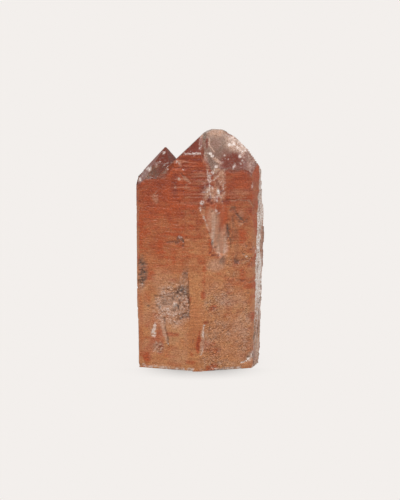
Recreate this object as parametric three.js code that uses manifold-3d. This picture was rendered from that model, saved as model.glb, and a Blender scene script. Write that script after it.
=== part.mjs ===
// A natural quartz tower, 88.5 mm tall: two lemurian crystals that grew side by side and
// joined into one piece. The base is cut flat. The tall crystal ends in a blunt ridge, the
// small one beside it in a point. Their long faces carry fine cross ledges like the rungs of
// a ladder, a smooth scar, a sugary hollow and chips, and the right side is a rough break.
//
// Units are millimetres, +Z is up, the wide front faces -Y, and the origin is the middle of
// the base. Every flat face is one row: azimuth is the way it faces, 0 to the front and 90
// to the right; slope is its angle from level, 90 for upright and more for an overhang;
// through is a point that it passes through.

import * as THREE from 'three';
import { mergeVertices } from 'three/addons/utils/BufferGeometryUtils.js';
import Module from 'manifold-3d';

const wasm = await Module();
wasm.setup();

// Driving dimensions
const HEIGHT = 88.5;
const LEFT_SIDE = -23.7;
const RIGHT_SIDE = 23.9;
const BACK = 28;
const QUARTZ_SLOPE = 51.8;

// Corners and edges of the front: x to the right, y to the back and z up
const SMALL_TIP = { x: -13, y: 11, z: 82.3 };
const RIDGE = { left: 2.7, right: 8.8, y: 11.8 };
const STRIP = { left: -4.75, right: 0.9, stepTop: 37, proud: 0.04 };
const RUNG_TOP = 80.3;
const SHOULDER = { x: 18.6, y: 4.15, z: 72.7 };

// Flat faces shared by more than one crystal
const leftFront = { azimuth: -15, slope: 90.8, through: [-8.5, 1.0, 60] };
const stripFront = { azimuth: 0, slope: 88.8, through: [-2, 0.3, 38] };
const rightFront = { azimuth: 14, slope: 90, through: [STRIP.right, 0, 40] };
const ridgeLeft = { azimuth: -95, slope: 43.5, through: [-7.16, 1.05, RUNG_TOP] };
const roughSide = { azimuth: 71, slope: 90.4, through: [21.1, 8.8, 53] };
const backFace = { azimuth: 176, slope: 90, through: [5, BACK, 40] };
const tallBackLeft = { azimuth: -150, slope: 90, through: [-12, 25.5, 40] };
const smallBackLeft = { azimuth: -150, slope: 90, through: [-20, 20.5, 40] };
const farLeft = { azimuth: -92, slope: 90, through: [LEFT_SIDE, 8, 40] };

const smallApex = [SMALL_TIP.x, SMALL_TIP.y, SMALL_TIP.z];
const smallCrystalFaces = [
  farLeft,
  smallBackLeft,
  { azimuth: -62, slope: 90, through: [-22.7, 4.9, 40] },
  { azimuth: 165, slope: 90, through: [SMALL_TIP.x, 22.5, 40] },
  { azimuth: 90, slope: 90, through: [-2.5, 10, 40] },
  { azimuth: -15, slope: QUARTZ_SLOPE, through: smallApex },
  { azimuth: 48, slope: 51, through: smallApex },
  { azimuth: -75, slope: 50, through: smallApex },
  { azimuth: 105, slope: 51, through: smallApex },
  { azimuth: -135, slope: QUARTZ_SLOPE, through: smallApex },
  { azimuth: 165, slope: QUARTZ_SLOPE, through: smallApex },
  { azimuth: -30, slope: 14, through: [SMALL_TIP.x, SMALL_TIP.y, SMALL_TIP.z - 0.35] },
];

const tallCrystalFaces = [
  rightFront,
  roughSide,
  backFace,
  tallBackLeft,
  ridgeLeft,
  { azimuth: 62, slope: 90, through: [SHOULDER.x, SHOULDER.y, SHOULDER.z] },
  { azimuth: 90, slope: 92, through: [RIGHT_SIDE, 17, 47] },
  { azimuth: 100, slope: 84.5, through: [RIGHT_SIDE, 17, 52] },
  { azimuth: 130, slope: 90.3, through: [22.5, 21, 40] },
  { azimuth: -90, slope: 90, through: [-16, 10, 40] },
  { azimuth: 16, slope: 56, through: [11.35, 2.6, 74.85] },
  { azimuth: 30, slope: 50.8, through: [RIDGE.right, RIDGE.y, HEIGHT - 0.1] },
  { azimuth: 35, slope: 58.4, through: [SHOULDER.x, SHOULDER.y, SHOULDER.z] },
  { azimuth: 95, slope: 55.5, through: [17.37, 9.8, 81.38] },
  { azimuth: 185, slope: QUARTZ_SLOPE, through: [5, RIDGE.y, HEIGHT] },
  { azimuth: 125, slope: 52, through: [9, RIDGE.y + 0.7, HEIGHT - 0.1] },
  { azimuth: -150, slope: 52, through: [RIDGE.left, RIDGE.y + 0.7, HEIGHT - 0.1] },
  { azimuth: -70, slope: 22, through: [3.2, RIDGE.y - 0.6, HEIGHT - 0.25] },
  { azimuth: 60, slope: 5, through: [6, RIDGE.y - 0.6, HEIGHT - 0.05] },
];

const stripFaces = [
  { azimuth: 0, slope: 88.8, through: [-2, 0.3 - STRIP.proud, 38] },
  { azimuth: -95, slope: 43.5, through: [-7.16, 1.05 - STRIP.proud, RUNG_TOP] },
  { azimuth: -90, slope: 92.5, through: [STRIP.left, 0, STRIP.stepTop] },
  { azimuth: 70, slope: 90, through: [STRIP.right, 0, 40] },
  { azimuth: 180, slope: 90, through: [0, 12, 40] },
  { azimuth: 0, slope: QUARTZ_SLOPE, through: [-2, 1.2, RUNG_TOP] },
  { azimuth: 60, slope: 75, through: [-0.25, 1.2, RUNG_TOP] },
  { azimuth: 180, slope: 20, through: [0, 8.2, 87.6] },
];

// Seeded numbers between 0 and 1, the same on each run
let seed = 20503;
function chance() {
  seed = (Math.imul(seed, 1664525) + 1013904223) >>> 0;
  return seed / 2 ** 32;
}
const between = (low, high) => low + (high - low) * chance();

// Geometry to solid and back; corners nearer than this are one
const SAME_POINT = 1e-5;
function solidOf(geometry) {
  const bare = geometry.clone();
  bare.deleteAttribute('normal');
  bare.deleteAttribute('uv');
  const merged = mergeVertices(bare, SAME_POINT);
  return new wasm.Manifold(new wasm.Mesh({
    numProp: 3,
    vertProperties: Float32Array.from(merged.attributes.position.array),
    triVerts: Uint32Array.from(merged.index.array),
  }));
}

function geometryOf(solid) {
  const mesh = solid.getMesh();
  const geometry = new THREE.BufferGeometry();
  geometry.setAttribute('position', new THREE.BufferAttribute(mesh.vertProperties, 3));
  geometry.setIndex(new THREE.BufferAttribute(mesh.triVerts, 1));
  geometry.computeVertexNormals();
  return geometry;
}

// A face's own axes: along it to the right, up it, and out of it
function axesOf(face) {
  const turn = THREE.MathUtils.degToRad(face.azimuth);
  const lean = THREE.MathUtils.degToRad(face.slope);
  const out = new THREE.Vector3(
    Math.sin(turn) * Math.sin(lean), -Math.cos(turn) * Math.sin(lean), Math.cos(lean));
  const along = new THREE.Vector3(Math.cos(turn), Math.sin(turn), 0);
  const up = new THREE.Vector3().crossVectors(out, along);
  return { along, up, out };
}

function basisOf(face) {
  const { along, up, out } = axesOf(face);
  return new THREE.Matrix4().makeBasis(along, up, out);
}

// The point of an upright face at a place across it and a height: across is x on the front
// and back, and y on the sides
function pointOn(face, across, z) {
  const { out } = axesOf(face);
  const start = new THREE.Vector3(...face.through);
  const level = out.dot(start) - out.z * z;
  if (Math.abs(out.y) >= Math.abs(out.x)) {
    return new THREE.Vector3(across, (level - out.x * across) / out.y, z);
  }
  return new THREE.Vector3((level - out.y * across) / out.x, across, z);
}

// A crystal is a block trimmed by its faces
const BLOCK = 400;
function trimmed(solid, faces) {
  let left = solid;
  for (const face of faces) {
    const { out } = axesOf(face);
    const waste = new THREE.BoxGeometry(BLOCK, BLOCK, BLOCK);
    waste.applyMatrix4(basisOf(face));
    const middle = new THREE.Vector3(...face.through).addScaledVector(out, BLOCK / 2);
    waste.translate(middle.x, middle.y, middle.z);
    left = left.subtract(solidOf(waste));
  }
  return left;
}

function crystalOf(faces) {
  const blank = new THREE.BoxGeometry(120, 120, 120);
  blank.translate(0, 0, 60);
  return trimmed(solidOf(blank), faces);
}

// A cutting tool at a point of a face: roll turns it in the face, pitch tips it out of the
// face at its top, and sink is how far it goes in
function placed(geometry, face, point, { roll = 0, pitch = 0, sink = 0 }) {
  const turn = new THREE.Matrix4().makeRotationFromEuler(new THREE.Euler(
    THREE.MathUtils.degToRad(pitch), 0, THREE.MathUtils.degToRad(roll), 'ZXY'));
  geometry.applyMatrix4(turn);
  geometry.applyMatrix4(basisOf(face));
  const { out } = axesOf(face);
  const at = point.clone().addScaledVector(out, -sink);
  geometry.translate(at.x, at.y, at.z);
  return solidOf(geometry);
}

// A ledge: the cut is deepest under its top edge and runs out to nothing below
function ledge(face, across, z, { width, run = 2.4, depth = 0.28, roll = 0 }) {
  const pitch = THREE.MathUtils.radToDeg(Math.atan2(depth, run));
  const thick = 1;
  const box = new THREE.BoxGeometry(width, 2 * run, thick);
  box.translate(0, -run, thick / 2);
  return placed(box, face, pointOn(face, across, z), { roll, pitch: -pitch, sink: depth });
}

// A groove with a square bottom corner, as long as width
function groove(face, across, z, { width, depth = 0.3, roll = 0 }) {
  const side = 2;
  const box = new THREE.BoxGeometry(width, side, side);
  box.rotateX(Math.PI / 4);
  box.translate(0, 0, side / Math.SQRT2);
  return placed(box, face, pointOn(face, across, z), { roll, sink: depth });
}

// A pit or a spindle scar: a stretched eight-sided stone pressed in, with its middle a
// little outside the face
const PIT_OUT = 0.23;
function pit(face, across, z, { width, tall, depth, roll = 0 }) {
  const stone = new THREE.OctahedronGeometry(1);
  stone.scale(width / 2, tall / 2, depth);
  return placed(stone, face, pointOn(face, across, z), { roll, sink: -PIT_OUT * depth });
}

// A shell-shaped chip: a coarse ball pressed in
function chip(face, across, z, { width, tall, depth, roll = 0, out = 0 }) {
  const ball = new THREE.IcosahedronGeometry(1, 1);
  ball.scale(width / 2, tall / 2, depth);
  return placed(ball, face, pointOn(face, across, z), { roll, sink: -out });
}

// A splinter break: a twenty-sided stone, turned at random and pressed in
function splinter(face, across, z, { width, tall, depth }) {
  const stone = new THREE.IcosahedronGeometry(1, 0);
  stone.rotateX(between(0, Math.PI));
  stone.rotateY(between(0, Math.PI));
  stone.scale(width / 2, tall / 2, 2 * depth);
  return placed(stone, face, pointOn(face, across, z), { roll: between(-9, 9), sink: -depth });
}

// Ladder ledges up a long face
function ladder(face, { from, to, pitch, left, right, depth }) {
  const cuts = [];
  for (let z = from; z < to; z += pitch * between(0.6, 1.4)) {
    const width = (right - left) * between(0.35, 1.15);
    const across = between(left + width * 0.4, right - width * 0.4);
    cuts.push(ledge(face, across, z, {
      width, run: between(1.4, 3), depth: depth * between(0.5, 1.1) }));
  }
  return cuts;
}

function ladders() {
  return [
    ...ladder(leftFront, { from: 42, to: 70, pitch: 4.2, left: -22, right: -9, depth: 0.22 }),
    ...ladder(leftFront, { from: 6, to: 16, pitch: 4, left: -21, right: -8, depth: 0.2 }),
    ...ladder(stripFront, { from: 42, to: 78, pitch: 4.4, left: -8, right: 6, depth: 0.16 }),
    ...ladder(rightFront, { from: 64.5, to: 74, pitch: 3.2, left: 6, right: 18, depth: 0.18 }),
    ...ladder(rightFront, { from: 33, to: 42, pitch: 2.6, left: 3, right: 19, depth: 0.22 }),
    ...ladder(backFace, { from: 5, to: 66, pitch: 4.6, left: -8, right: 16, depth: 0.32 }),
    ...ladder(tallBackLeft, { from: 5, to: 68, pitch: 5.5, left: -14, right: -8, depth: 0.25 }),
    ...ladder(smallBackLeft, { from: 6, to: 62, pitch: 6, left: -23, right: -20, depth: 0.2 }),
    ...ladder(farLeft, { from: 44, to: 66, pitch: 5, left: 7, right: 17, depth: 0.2 }),
    ...ladder(farLeft, { from: 4, to: 26, pitch: 5, left: 7, right: 17, depth: 0.2 }),
  ];
}

// The smooth scar on the right front, deepest at its square lower end
function scar() {
  const wide = 6.6;
  const tall = 17.5;
  const thick = 4;
  const box = new THREE.BoxGeometry(wide, tall, thick);
  box.translate(0, tall / 2, thick / 2);
  const lowEnd = pointOn(rightFront, 7.2, 43.4);
  return placed(box, rightFront, lowEnd, { roll: 10, pitch: 2.6, sink: 0.75 });
}

// The step where growth stopped on the right front, and the cracks under it
function growthStep() {
  return [
    ledge(rightFront, 13.8, 63.4, { width: 7.8, run: 5, depth: 0.3 }),
    ledge(rightFront, 19.1, 61.8, { width: 4.4, run: 3.5, depth: 0.3, roll: -45 }),
    groove(rightFront, 13.6, 58, { width: 9.4, depth: 0.45, roll: -54 }),
    groove(rightFront, 11.2, 59.3, { width: 5, depth: 0.35, roll: 75 }),
    groove(rightFront, 10.2, 50, { width: 9.6, depth: 0.4, roll: 88 }),
  ];
}

// Single pits, spindle scars and the chip on the left edge
function scars() {
  return [
    pit(leftFront, -6.9, 49.3, { width: 2.4, tall: 2, depth: 0.9, roll: 20 }),
    pit(leftFront, -17.6, 14.2, { width: 1.5, tall: 6, depth: 0.45 }),
    pit(leftFront, -13.2, 13.8, { width: 1, tall: 10, depth: 0.4, roll: 15 }),
    pit(leftFront, -16, 8.4, { width: 4, tall: 4.6, depth: 0.35, roll: -30 }),
    pit(rightFront, 1.3, 12.4, { width: 1.6, tall: 11, depth: 0.6, roll: -6 }),
    pit(rightFront, 3.6, 63.4, { width: 2.6, tall: 2.2, depth: 0.5, roll: 30 }),
    chip(leftFront, -22.4, 35, { width: 4.6, tall: 12.5, depth: 0.9, roll: -4 }),
  ];
}

// The sugary hollow low on the small crystal: many little pits side by side
function sugaryHollow() {
  const cuts = [];
  const middle = { x: -10.4, z: 24.6 };
  const rows = 6;
  const columns = 5;
  for (let row = 0; row < rows; row += 1) {
    for (let column = 0; column < columns; column += 1) {
      const across = -15.4 + (column + between(-0.4, 0.4)) * 2.4;
      const z = 17.6 + (row + between(-0.4, 0.4)) * 2.6;
      const edge = Math.hypot((across - middle.x) / 6.6, (z - middle.z) / 8);
      const depth = Math.max(0.25, 0.95 - 0.6 * edge) * between(0.7, 1.1);
      const width = between(2.6, 3.8);
      const tall = between(2.6, 3.8);
      cuts.push(pit(leftFront, across, z, { width, tall, depth, roll: between(0, 90) }));
    }
  }
  return cuts;
}

// Shallow dents over the grainy lower right of the front
function grainyDents() {
  const cuts = [];
  for (let count = 0; count < 22; count += 1) {
    const across = between(3, 18);
    const z = between(5, 30);
    const width = between(1.6, 3.4);
    const tall = between(1.4, 2.8);
    const depth = between(0.18, 0.35);
    cuts.push(pit(rightFront, across, z, { width, tall, depth, roll: between(0, 90) }));
  }
  return cuts;
}

// The rough right side: long splinters side by side, up and down the break
function roughBreak() {
  const cuts = [];
  const rows = 9;
  const columns = 3;
  for (let row = 0; row < rows; row += 1) {
    for (let column = 0; column < columns; column += 1) {
      const across = 10.6 + (column + between(-0.4, 0.4)) * 3.2;
      const z = 4 + (row + between(-0.5, 0.5)) * 8;
      cuts.push(splinter(roughSide, across, z, {
        width: between(3.4, 5.6), tall: between(10, 22), depth: between(0.35, 0.75) }));
    }
  }
  return cuts;
}

function frontAt(across) {
  if (across < -8) {
    return leftFront;
  }
  return across < STRIP.right ? stripFront : rightFront;
}

// Chips along the cut base and at the corners
function baseChips() {
  const cuts = [];
  for (let across = -21; across < 20; across += between(2.6, 5)) {
    const z = between(-0.3, -0.1);
    const width = between(1.6, 4);
    const tall = between(0.8, 2);
    const depth = between(0.35, 0.8);
    cuts.push(pit(frontAt(across), across, z, { width, tall, depth, roll: between(-8, 8) }));
  }
  for (let across = -6; across < 15; across += between(4, 7)) {
    cuts.push(pit(backFace, across, between(-0.3, -0.1), {
      width: between(2, 5), tall: between(1, 2.4), depth: between(0.4, 0.9) }));
  }
  cuts.push(chip(rightFront, 18.6, 0.6, { width: 6, tall: 3, depth: 1.2, roll: 24 }));
  cuts.push(pit(rightFront, 17.6, 4.6, { width: 4.4, tall: 3.4, depth: 0.5, roll: 40 }));
  cuts.push(chip(leftFront, -22.6, 0.3, { width: 3, tall: 2.6, depth: 1.4, roll: -20 }));
  return cuts;
}

// Chips on the tips, and a deep shell break high on the back
function tipAndBackChips() {
  return [
    pit(leftFront, -22.3, 71.2, { width: 3.6, tall: 3, depth: 1.3, roll: 30 }),
    pit(stripFront, -8.4, 77.4, { width: 2.2, tall: 2.8, depth: 0.7, roll: 35 }),
    pit(stripFront, 0.4, 77.2, { width: 2.6, tall: 3.6, depth: 0.8, roll: 20 }),
    chip(backFace, 10, 56, { width: 13, tall: 17, depth: 1.8, roll: 18, out: 0.3 }),
    chip(backFace, 2, 22, { width: 9, tall: 12, depth: 1.2, roll: -24, out: 0.3 }),
    chip(tallBackLeft, -11.5, 44, { width: 6.5, tall: 11, depth: 1.1, roll: 12, out: 0.2 }),
  ];
}

function allCuts() {
  return [
    ...ladders(),
    scar(),
    ...growthStep(),
    ...scars(),
    ...sugaryHollow(),
    ...grainyDents(),
    ...roughBreak(),
    ...baseChips(),
    ...tipAndBackChips(),
  ];
}

function crystalSolid() {
  const pair = crystalOf(tallCrystalFaces).add(crystalOf(smallCrystalFaces));
  let solid = trimmed(pair, [leftFront, stripFront]).add(crystalOf(stripFaces));
  for (const cut of allCuts()) {
    solid = solid.subtract(cut);
  }
  return solid;
}

function quartzMaterial() {
  return new THREE.MeshStandardMaterial({ color: 0xa9684a, roughness: 0.45, metalness: 0 });
}

const crystal = new THREE.Mesh(geometryOf(crystalSolid()), quartzMaterial());
crystal.name = 'crystal';

// The faces are placed from the front edge of the base, and the tower from its middle
crystal.geometry.computeBoundingBox();
const middle = crystal.geometry.boundingBox.getCenter(new THREE.Vector3());
crystal.position.set(-middle.x, -middle.y, 0);

const tower = new THREE.Group();
tower.add(crystal);

export default tower;
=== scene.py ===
"""The looks of a natural lemurian quartz tower: two red-stained crystals grown together.

The stone is rebuilt here from its flat faces, cut into a fine grid and carved: ladder
striations, a scar, a sugary hollow, splinters on the broken side, chips. Places on the
stone are millimetres in its own axes: x to the right, y to the back and z up, from the
front of the base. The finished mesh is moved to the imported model's place and to metres.
"""

import itertools
import math

import bmesh
import bpy
import numpy as np
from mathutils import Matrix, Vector


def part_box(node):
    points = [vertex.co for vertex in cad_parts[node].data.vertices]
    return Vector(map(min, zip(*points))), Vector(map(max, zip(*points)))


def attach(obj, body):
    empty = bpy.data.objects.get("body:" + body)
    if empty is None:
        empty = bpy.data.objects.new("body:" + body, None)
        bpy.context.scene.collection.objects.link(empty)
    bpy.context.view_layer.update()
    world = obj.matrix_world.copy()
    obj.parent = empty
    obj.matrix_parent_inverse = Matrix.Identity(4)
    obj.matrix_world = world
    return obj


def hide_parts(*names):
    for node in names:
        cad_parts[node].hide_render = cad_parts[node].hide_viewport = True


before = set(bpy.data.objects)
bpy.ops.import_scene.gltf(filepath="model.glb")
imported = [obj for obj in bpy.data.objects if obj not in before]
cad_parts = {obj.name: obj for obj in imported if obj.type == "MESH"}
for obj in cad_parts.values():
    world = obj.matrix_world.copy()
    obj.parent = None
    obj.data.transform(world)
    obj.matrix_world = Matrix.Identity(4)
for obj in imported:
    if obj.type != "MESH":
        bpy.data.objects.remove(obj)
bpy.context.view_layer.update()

MM = 0.001

# Driving dimensions
HEIGHT = 88.5
LEFT_SIDE = -23.7
RIGHT_SIDE = 23.9
BACK = 28.0
QUARTZ_SLOPE = 51.8
SMALL_TIP = (-13.0, 11.0, 82.3)
RIDGE_LEFT = 2.7
RIDGE_RIGHT = 8.8
RIDGE_Y = 11.8
STRIP_LEFT = -4.75
STRIP_RIGHT = 0.9
STRIP_MIDDLE = 37
STRIP_PROUD = 0.04
RUNG_TOP = 80.3
SHOULDER = (18.6, 4.15, 72.7)

# Flat faces: azimuth is the way a face looks, 0 to the front and 90 to the right, slope is
# its angle from level, and the point is one that it passes through
FACES = {
    "left_front": (-15, 90.8, (-8.5, 1.0, 60)),
    "strip_front": (0, 88.8, (-2, 0.3, 38)),
    "right_front": (14, 90, (STRIP_RIGHT, 0, 40)),
    "far_left": (-92, 90, (LEFT_SIDE, 8, 40)),
    "left_corner": (-62, 90, (-22.7, 4.9, 40)),
    "small_back_left": (-150, 90, (-20, 20.5, 40)),
    "small_back": (165, 90, (SMALL_TIP[0], 22.5, 40)),
    "small_inside": (90, 90, (-2.5, 10, 40)),
    "small_tip_front": (-15, QUARTZ_SLOPE, SMALL_TIP),
    "small_tip_right": (48, 51, SMALL_TIP),
    "small_tip_left": (-75, 50, SMALL_TIP),
    "small_tip_inside": (105, 51, SMALL_TIP),
    "small_tip_back_left": (-135, QUARTZ_SLOPE, SMALL_TIP),
    "small_tip_back": (165, QUARTZ_SLOPE, SMALL_TIP),
    "small_tip_worn": (-30, 14, (SMALL_TIP[0], SMALL_TIP[1], SMALL_TIP[2] - 0.35)),
    "rough_side": (71, 90.4, (21.1, 8.8, 53)),
    "rough_front": (62, 90, SHOULDER),
    "rough_low": (90, 92, (RIGHT_SIDE, 17, 47)),
    "rough_high": (100, 84.5, (RIGHT_SIDE, 17, 52)),
    "rough_back": (130, 90.3, (22.5, 21, 40)),
    "back": (176, 90, (5, BACK, 40)),
    "back_left": (-150, 90, (-12, 25.5, 40)),
    "tall_inside": (-90, 90, (-16, 10, 40)),
    "ridge_left": (-95, 43.5, (-7.16, 1.05, RUNG_TOP)),
    "tip_low": (16, 56, (11.35, 2.6, 74.85)),
    "tip_frosted": (30, 50.8, (RIDGE_RIGHT, RIDGE_Y, HEIGHT - 0.1)),
    "tip_shoulder": (35, 58.4, SHOULDER),
    "tip_side": (95, 55.5, (17.37, 9.8, 81.38)),
    "tip_back": (185, QUARTZ_SLOPE, (5, RIDGE_Y, HEIGHT)),
    "tip_back_right": (125, 52, (9, RIDGE_Y + 0.7, HEIGHT - 0.1)),
    "tip_back_left": (-150, 52, (RIDGE_LEFT, RIDGE_Y + 0.7, HEIGHT - 0.1)),
    "ridge_worn_left": (-70, 22, (3.2, RIDGE_Y - 0.6, HEIGHT - 0.25)),
    "ridge_worn": (60, 5, (6, RIDGE_Y - 0.6, HEIGHT - 0.05)),
    "strip_face": (0, 88.8, (-2, 0.3 - STRIP_PROUD, 38)),
    "strip_ridge": (-95, 43.5, (-7.16, 1.05 - STRIP_PROUD, RUNG_TOP)),
    "strip_step": (-90, 92.5, (STRIP_LEFT, 0, STRIP_MIDDLE)),
    "strip_right": (70, 90, (STRIP_RIGHT, 0, 40)),
    "strip_back": (180, 90, (0, 12, 40)),
    "strip_tip": (0, QUARTZ_SLOPE, (-2, 1.2, RUNG_TOP)),
    "strip_wall": (60, 75, (-0.25, 1.2, RUNG_TOP)),
    "strip_tip_back": (180, 20, (0, 8.2, 87.6)),
    "base": (0, 180, (0, 0, 0)),
}
SMALL_CRYSTAL = [
    "far_left", "left_corner", "small_back_left", "small_back", "small_inside",
    "small_tip_front", "small_tip_right", "small_tip_left", "small_tip_inside",
    "small_tip_back_left", "small_tip_back", "small_tip_worn",
]
TALL_CRYSTAL = [
    "right_front", "rough_side", "rough_front", "rough_low", "rough_high", "rough_back",
    "back", "back_left", "tall_inside", "ridge_left", "tip_low", "tip_frosted",
    "tip_shoulder", "tip_side", "tip_back", "tip_back_right", "tip_back_left",
    "ridge_worn_left", "ridge_worn",
]
STRIP = [
    "strip_face", "strip_ridge", "strip_step", "strip_right", "strip_back", "strip_tip",
    "strip_wall", "strip_tip_back",
]
FRONT = ["left_front", "strip_front", "right_front", "strip_face"]
ROUGH = ["rough_side", "rough_front", "rough_low", "rough_high", "rough_back"]
NAMES = list(FACES)


def out_of(name):
    """The way a face looks."""
    azimuth, slope, _ = FACES[name]
    turn, lean = math.radians(azimuth), math.radians(slope)
    return Vector((
        math.sin(turn) * math.sin(lean), -math.cos(turn) * math.sin(lean), math.cos(lean)))


def faces_front(name):
    """Whether the photo's side shows a face."""
    return out_of(name).y < -0.15


def on_tip(name):
    """Whether a face is one of a tip's."""
    return "tip" in name or "ridge" in name


def trim(bm, names):
    """Cuts away what is outside each face, and closes the cut."""
    for name in names:
        geometry = bm.verts[:] + bm.edges[:] + bm.faces[:]
        cut = bmesh.ops.bisect_plane(
            bm, geom=geometry, dist=1e-5, clear_outer=True,
            plane_co=FACES[name][2], plane_no=out_of(name))
        opened = [e for e in cut["geom_cut"] if isinstance(e, bmesh.types.BMEdge)]
        if opened:
            bmesh.ops.edgeloop_fill(bm, edges=opened)


def block():
    """A block from the base up, larger than the stone."""
    bm = bmesh.new()
    bmesh.ops.create_cube(bm, size=120)
    bmesh.ops.translate(bm, verts=bm.verts, vec=(0, 0, 60))
    return bm


def object_of(bm, name):
    mesh = bpy.data.meshes.new(name)
    bm.to_mesh(mesh)
    bm.free()
    piece = bpy.data.objects.new(name, mesh)
    bpy.context.scene.collection.objects.link(piece)
    return piece


def joined(first, second):
    """The union of two pieces, as a bmesh."""
    union = first.modifiers.new("union", "BOOLEAN")
    union.operation = "UNION"
    union.solver = "EXACT"
    union.object = second
    mesh = bpy.data.meshes.new_from_object(
        first.evaluated_get(bpy.context.evaluated_depsgraph_get()))
    bm = bmesh.new()
    bm.from_mesh(mesh)
    bpy.data.meshes.remove(mesh)
    bpy.data.objects.remove(first)
    bpy.data.objects.remove(second)
    return bm


def body_of(names):
    bm = block()
    trim(bm, names)
    return object_of(bm, "body")


def tower_body():
    """The two crystals and the proud strip between them as one faceted body."""
    bm = joined(body_of(TALL_CRYSTAL), body_of(SMALL_CRYSTAL))
    trim(bm, ["left_front", "strip_front"])
    bm = joined(object_of(bm, "pair"), body_of(STRIP))
    bmesh.ops.remove_doubles(bm, verts=bm.verts, dist=1e-4)
    bmesh.ops.dissolve_limit(bm, angle_limit=math.radians(0.3), verts=bm.verts, edges=bm.edges)
    bmesh.ops.connect_verts_concave(bm, faces=bm.faces)
    return bm


def name_faces(bm):
    """The number of the flat face that each polygon lies on."""
    outs = [out_of(name) for name in NAMES]
    points = [Vector(FACES[name][2]) for name in NAMES]

    def misfit(number, face):
        turned = 1 - face.normal.dot(outs[number])
        away = abs(outs[number].dot(face.calc_center_median() - points[number]))
        return 500 * turned + away

    return {f: min(range(len(NAMES)), key=lambda n: misfit(n, f)) for f in bm.faces}


# The grid over the faces, in millimetres
ROW = 0.25
FINE_COLUMN = 0.36
MEDIUM_COLUMN = 0.5
COARSE_COLUMN = 0.8
STEP_COLUMN = 10
NEAR = 1e-4


def column_of(name):
    """How far apart the upright grid lines of a face are."""
    if name in ("strip_step", "strip_right"):
        return STEP_COLUMN
    if name in FRONT or name in ("strip_tip", "tip_low", "small_tip_front"):
        return FINE_COLUMN
    if name in ROUGH or "tip" in name or name.startswith("ridge"):
        return MEDIUM_COLUMN
    return COARSE_COLUMN


def grid_of(name):
    """The planes that cut a face: its axis and the places along it, one pair for each set."""
    out = out_of(name)
    column = column_of(name)
    columns_x = (0, np.arange(LEFT_SIDE - 1.0, RIGHT_SIDE + 1, column))
    columns_y = (1, np.arange(-1.3, BACK + 2, column))
    rows = (2, np.arange(ROW / 2, HEIGHT + 1, ROW))
    if abs(out.z) > 0.99:
        return [columns_x, columns_y]
    return [rows, columns_x if abs(out.y) >= abs(out.x) else columns_y]


def between(places, low, high):
    return places[(places > low + NEAR) & (places < high - NEAR)]


def edge_points(edge, numbers, grids):
    """The points along an edge where the grid of either face crosses it, ends left out."""
    start, end = (v.co.copy() for v in edge.verts)
    shares = set()
    for face in edge.link_faces:
        for axis, places in grids[numbers[face]]:
            low, high = sorted((start[axis], end[axis]))
            for place in between(places, low, high):
                shares.add((place - start[axis]) / (end[axis] - start[axis]))
    return [tuple(start.lerp(end, share)) for share in sorted(shares)]


def parted(polygon, axis, at):
    """The parts of a polygon below and above a plane across an axis."""
    below = []
    above = []
    last = polygon[-1]
    for point in polygon:
        before = last[axis] - at
        after = point[axis] - at
        if min(before, after) < -NEAR and max(before, after) > NEAR:
            share = before / (before - after)
            crossing = tuple(last[i] + (point[i] - last[i]) * share for i in range(3))
            below.append(crossing)
            above.append(crossing)
        if after <= NEAR:
            below.append(point)
        if after >= -NEAR:
            above.append(point)
        last = point
    return below, above


def slabs(polygon, axis, places):
    """A polygon cut across an axis at each place."""
    reach = [point[axis] for point in polygon]
    parts = []
    rest = polygon
    for place in between(places, min(reach), max(reach)):
        part, rest = parted(rest, axis, place)
        parts.append(part)
    return [part for part in parts + [rest] if len(part) > 2]


def gridded(bm):
    """The faceted body cut into small quads, as a bmesh, and the flat face of each polygon."""
    numbers = name_faces(bm)
    grids = [grid_of(name) for name in NAMES]
    inner = {edge: edge_points(edge, numbers, grids) for edge in bm.edges}
    made = bmesh.new()
    layer = made.faces.layers.int.new("facet")
    corners = {}

    def corner(point):
        key = tuple(round(value, 4) for value in point)
        if key not in corners:
            corners[key] = made.verts.new(point)
        return corners[key]

    for face in bm.faces:
        outline = []
        for loop in face.loops:
            outline.append(tuple(loop.vert.co))
            points = inner[loop.edge]
            forward = loop.edge.verts[0] is loop.vert
            outline.extend(points if forward else points[::-1])
        first, second = grids[numbers[face]]
        for slab in slabs(outline, *first):
            for cell in slabs(slab, *second):
                ring = list(dict.fromkeys(corner(point) for point in cell))
                if len(ring) > 2 and made.faces.get(ring) is None:
                    made.faces.new(ring)[layer] = numbers[face]
    bmesh.ops.remove_doubles(made, verts=made.verts, dist=1e-3)
    opened = [edge for edge in made.edges if edge.is_boundary]
    bmesh.ops.holes_fill(made, edges=opened)
    return made


def lattice(cells, seed):
    """A fixed random number, 0 to 1, for each whole-numbered place."""
    x, y, z = (cells[:, i].astype(np.uint32) for i in range(3))
    mixed = x * np.uint32(73856093) ^ y * np.uint32(19349663) ^ z * np.uint32(83492791)
    mixed = mixed ^ np.uint32(seed * 2654435761 % 2**32)
    mixed = (mixed ^ (mixed >> np.uint32(13))) * np.uint32(1274126177)
    mixed = (mixed ^ (mixed >> np.uint32(16))) * np.uint32(2246822519)
    return (mixed ^ (mixed >> np.uint32(13))).astype(float) / 2**32


def noise(places, size, seed):
    """Smooth noise, 0 to 1, in lumps of that size, or of those along x, y and z."""
    scaled = places / np.asarray(size, float)
    cells = np.floor(scaled).astype(np.int64)
    part = scaled - cells
    part = part * part * (3 - 2 * part)
    total = np.zeros(len(places))
    for corner in itertools.product((0, 1), repeat=3):
        share = np.prod(np.where(corner, part, 1 - part), axis=1)
        total += share * lattice(cells + np.array(corner), seed)
    return total


def clouds(places, size, seed, octaves=3):
    """Noise with finer and fainter noise on it, 0 to 1."""
    total = np.zeros(len(places))
    weight = 0.0
    for octave in range(octaves):
        share = 0.5**octave
        total += share * noise(places, np.asarray(size, float) / 2**octave, seed + octave)
        weight += share
    return total / weight


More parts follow.
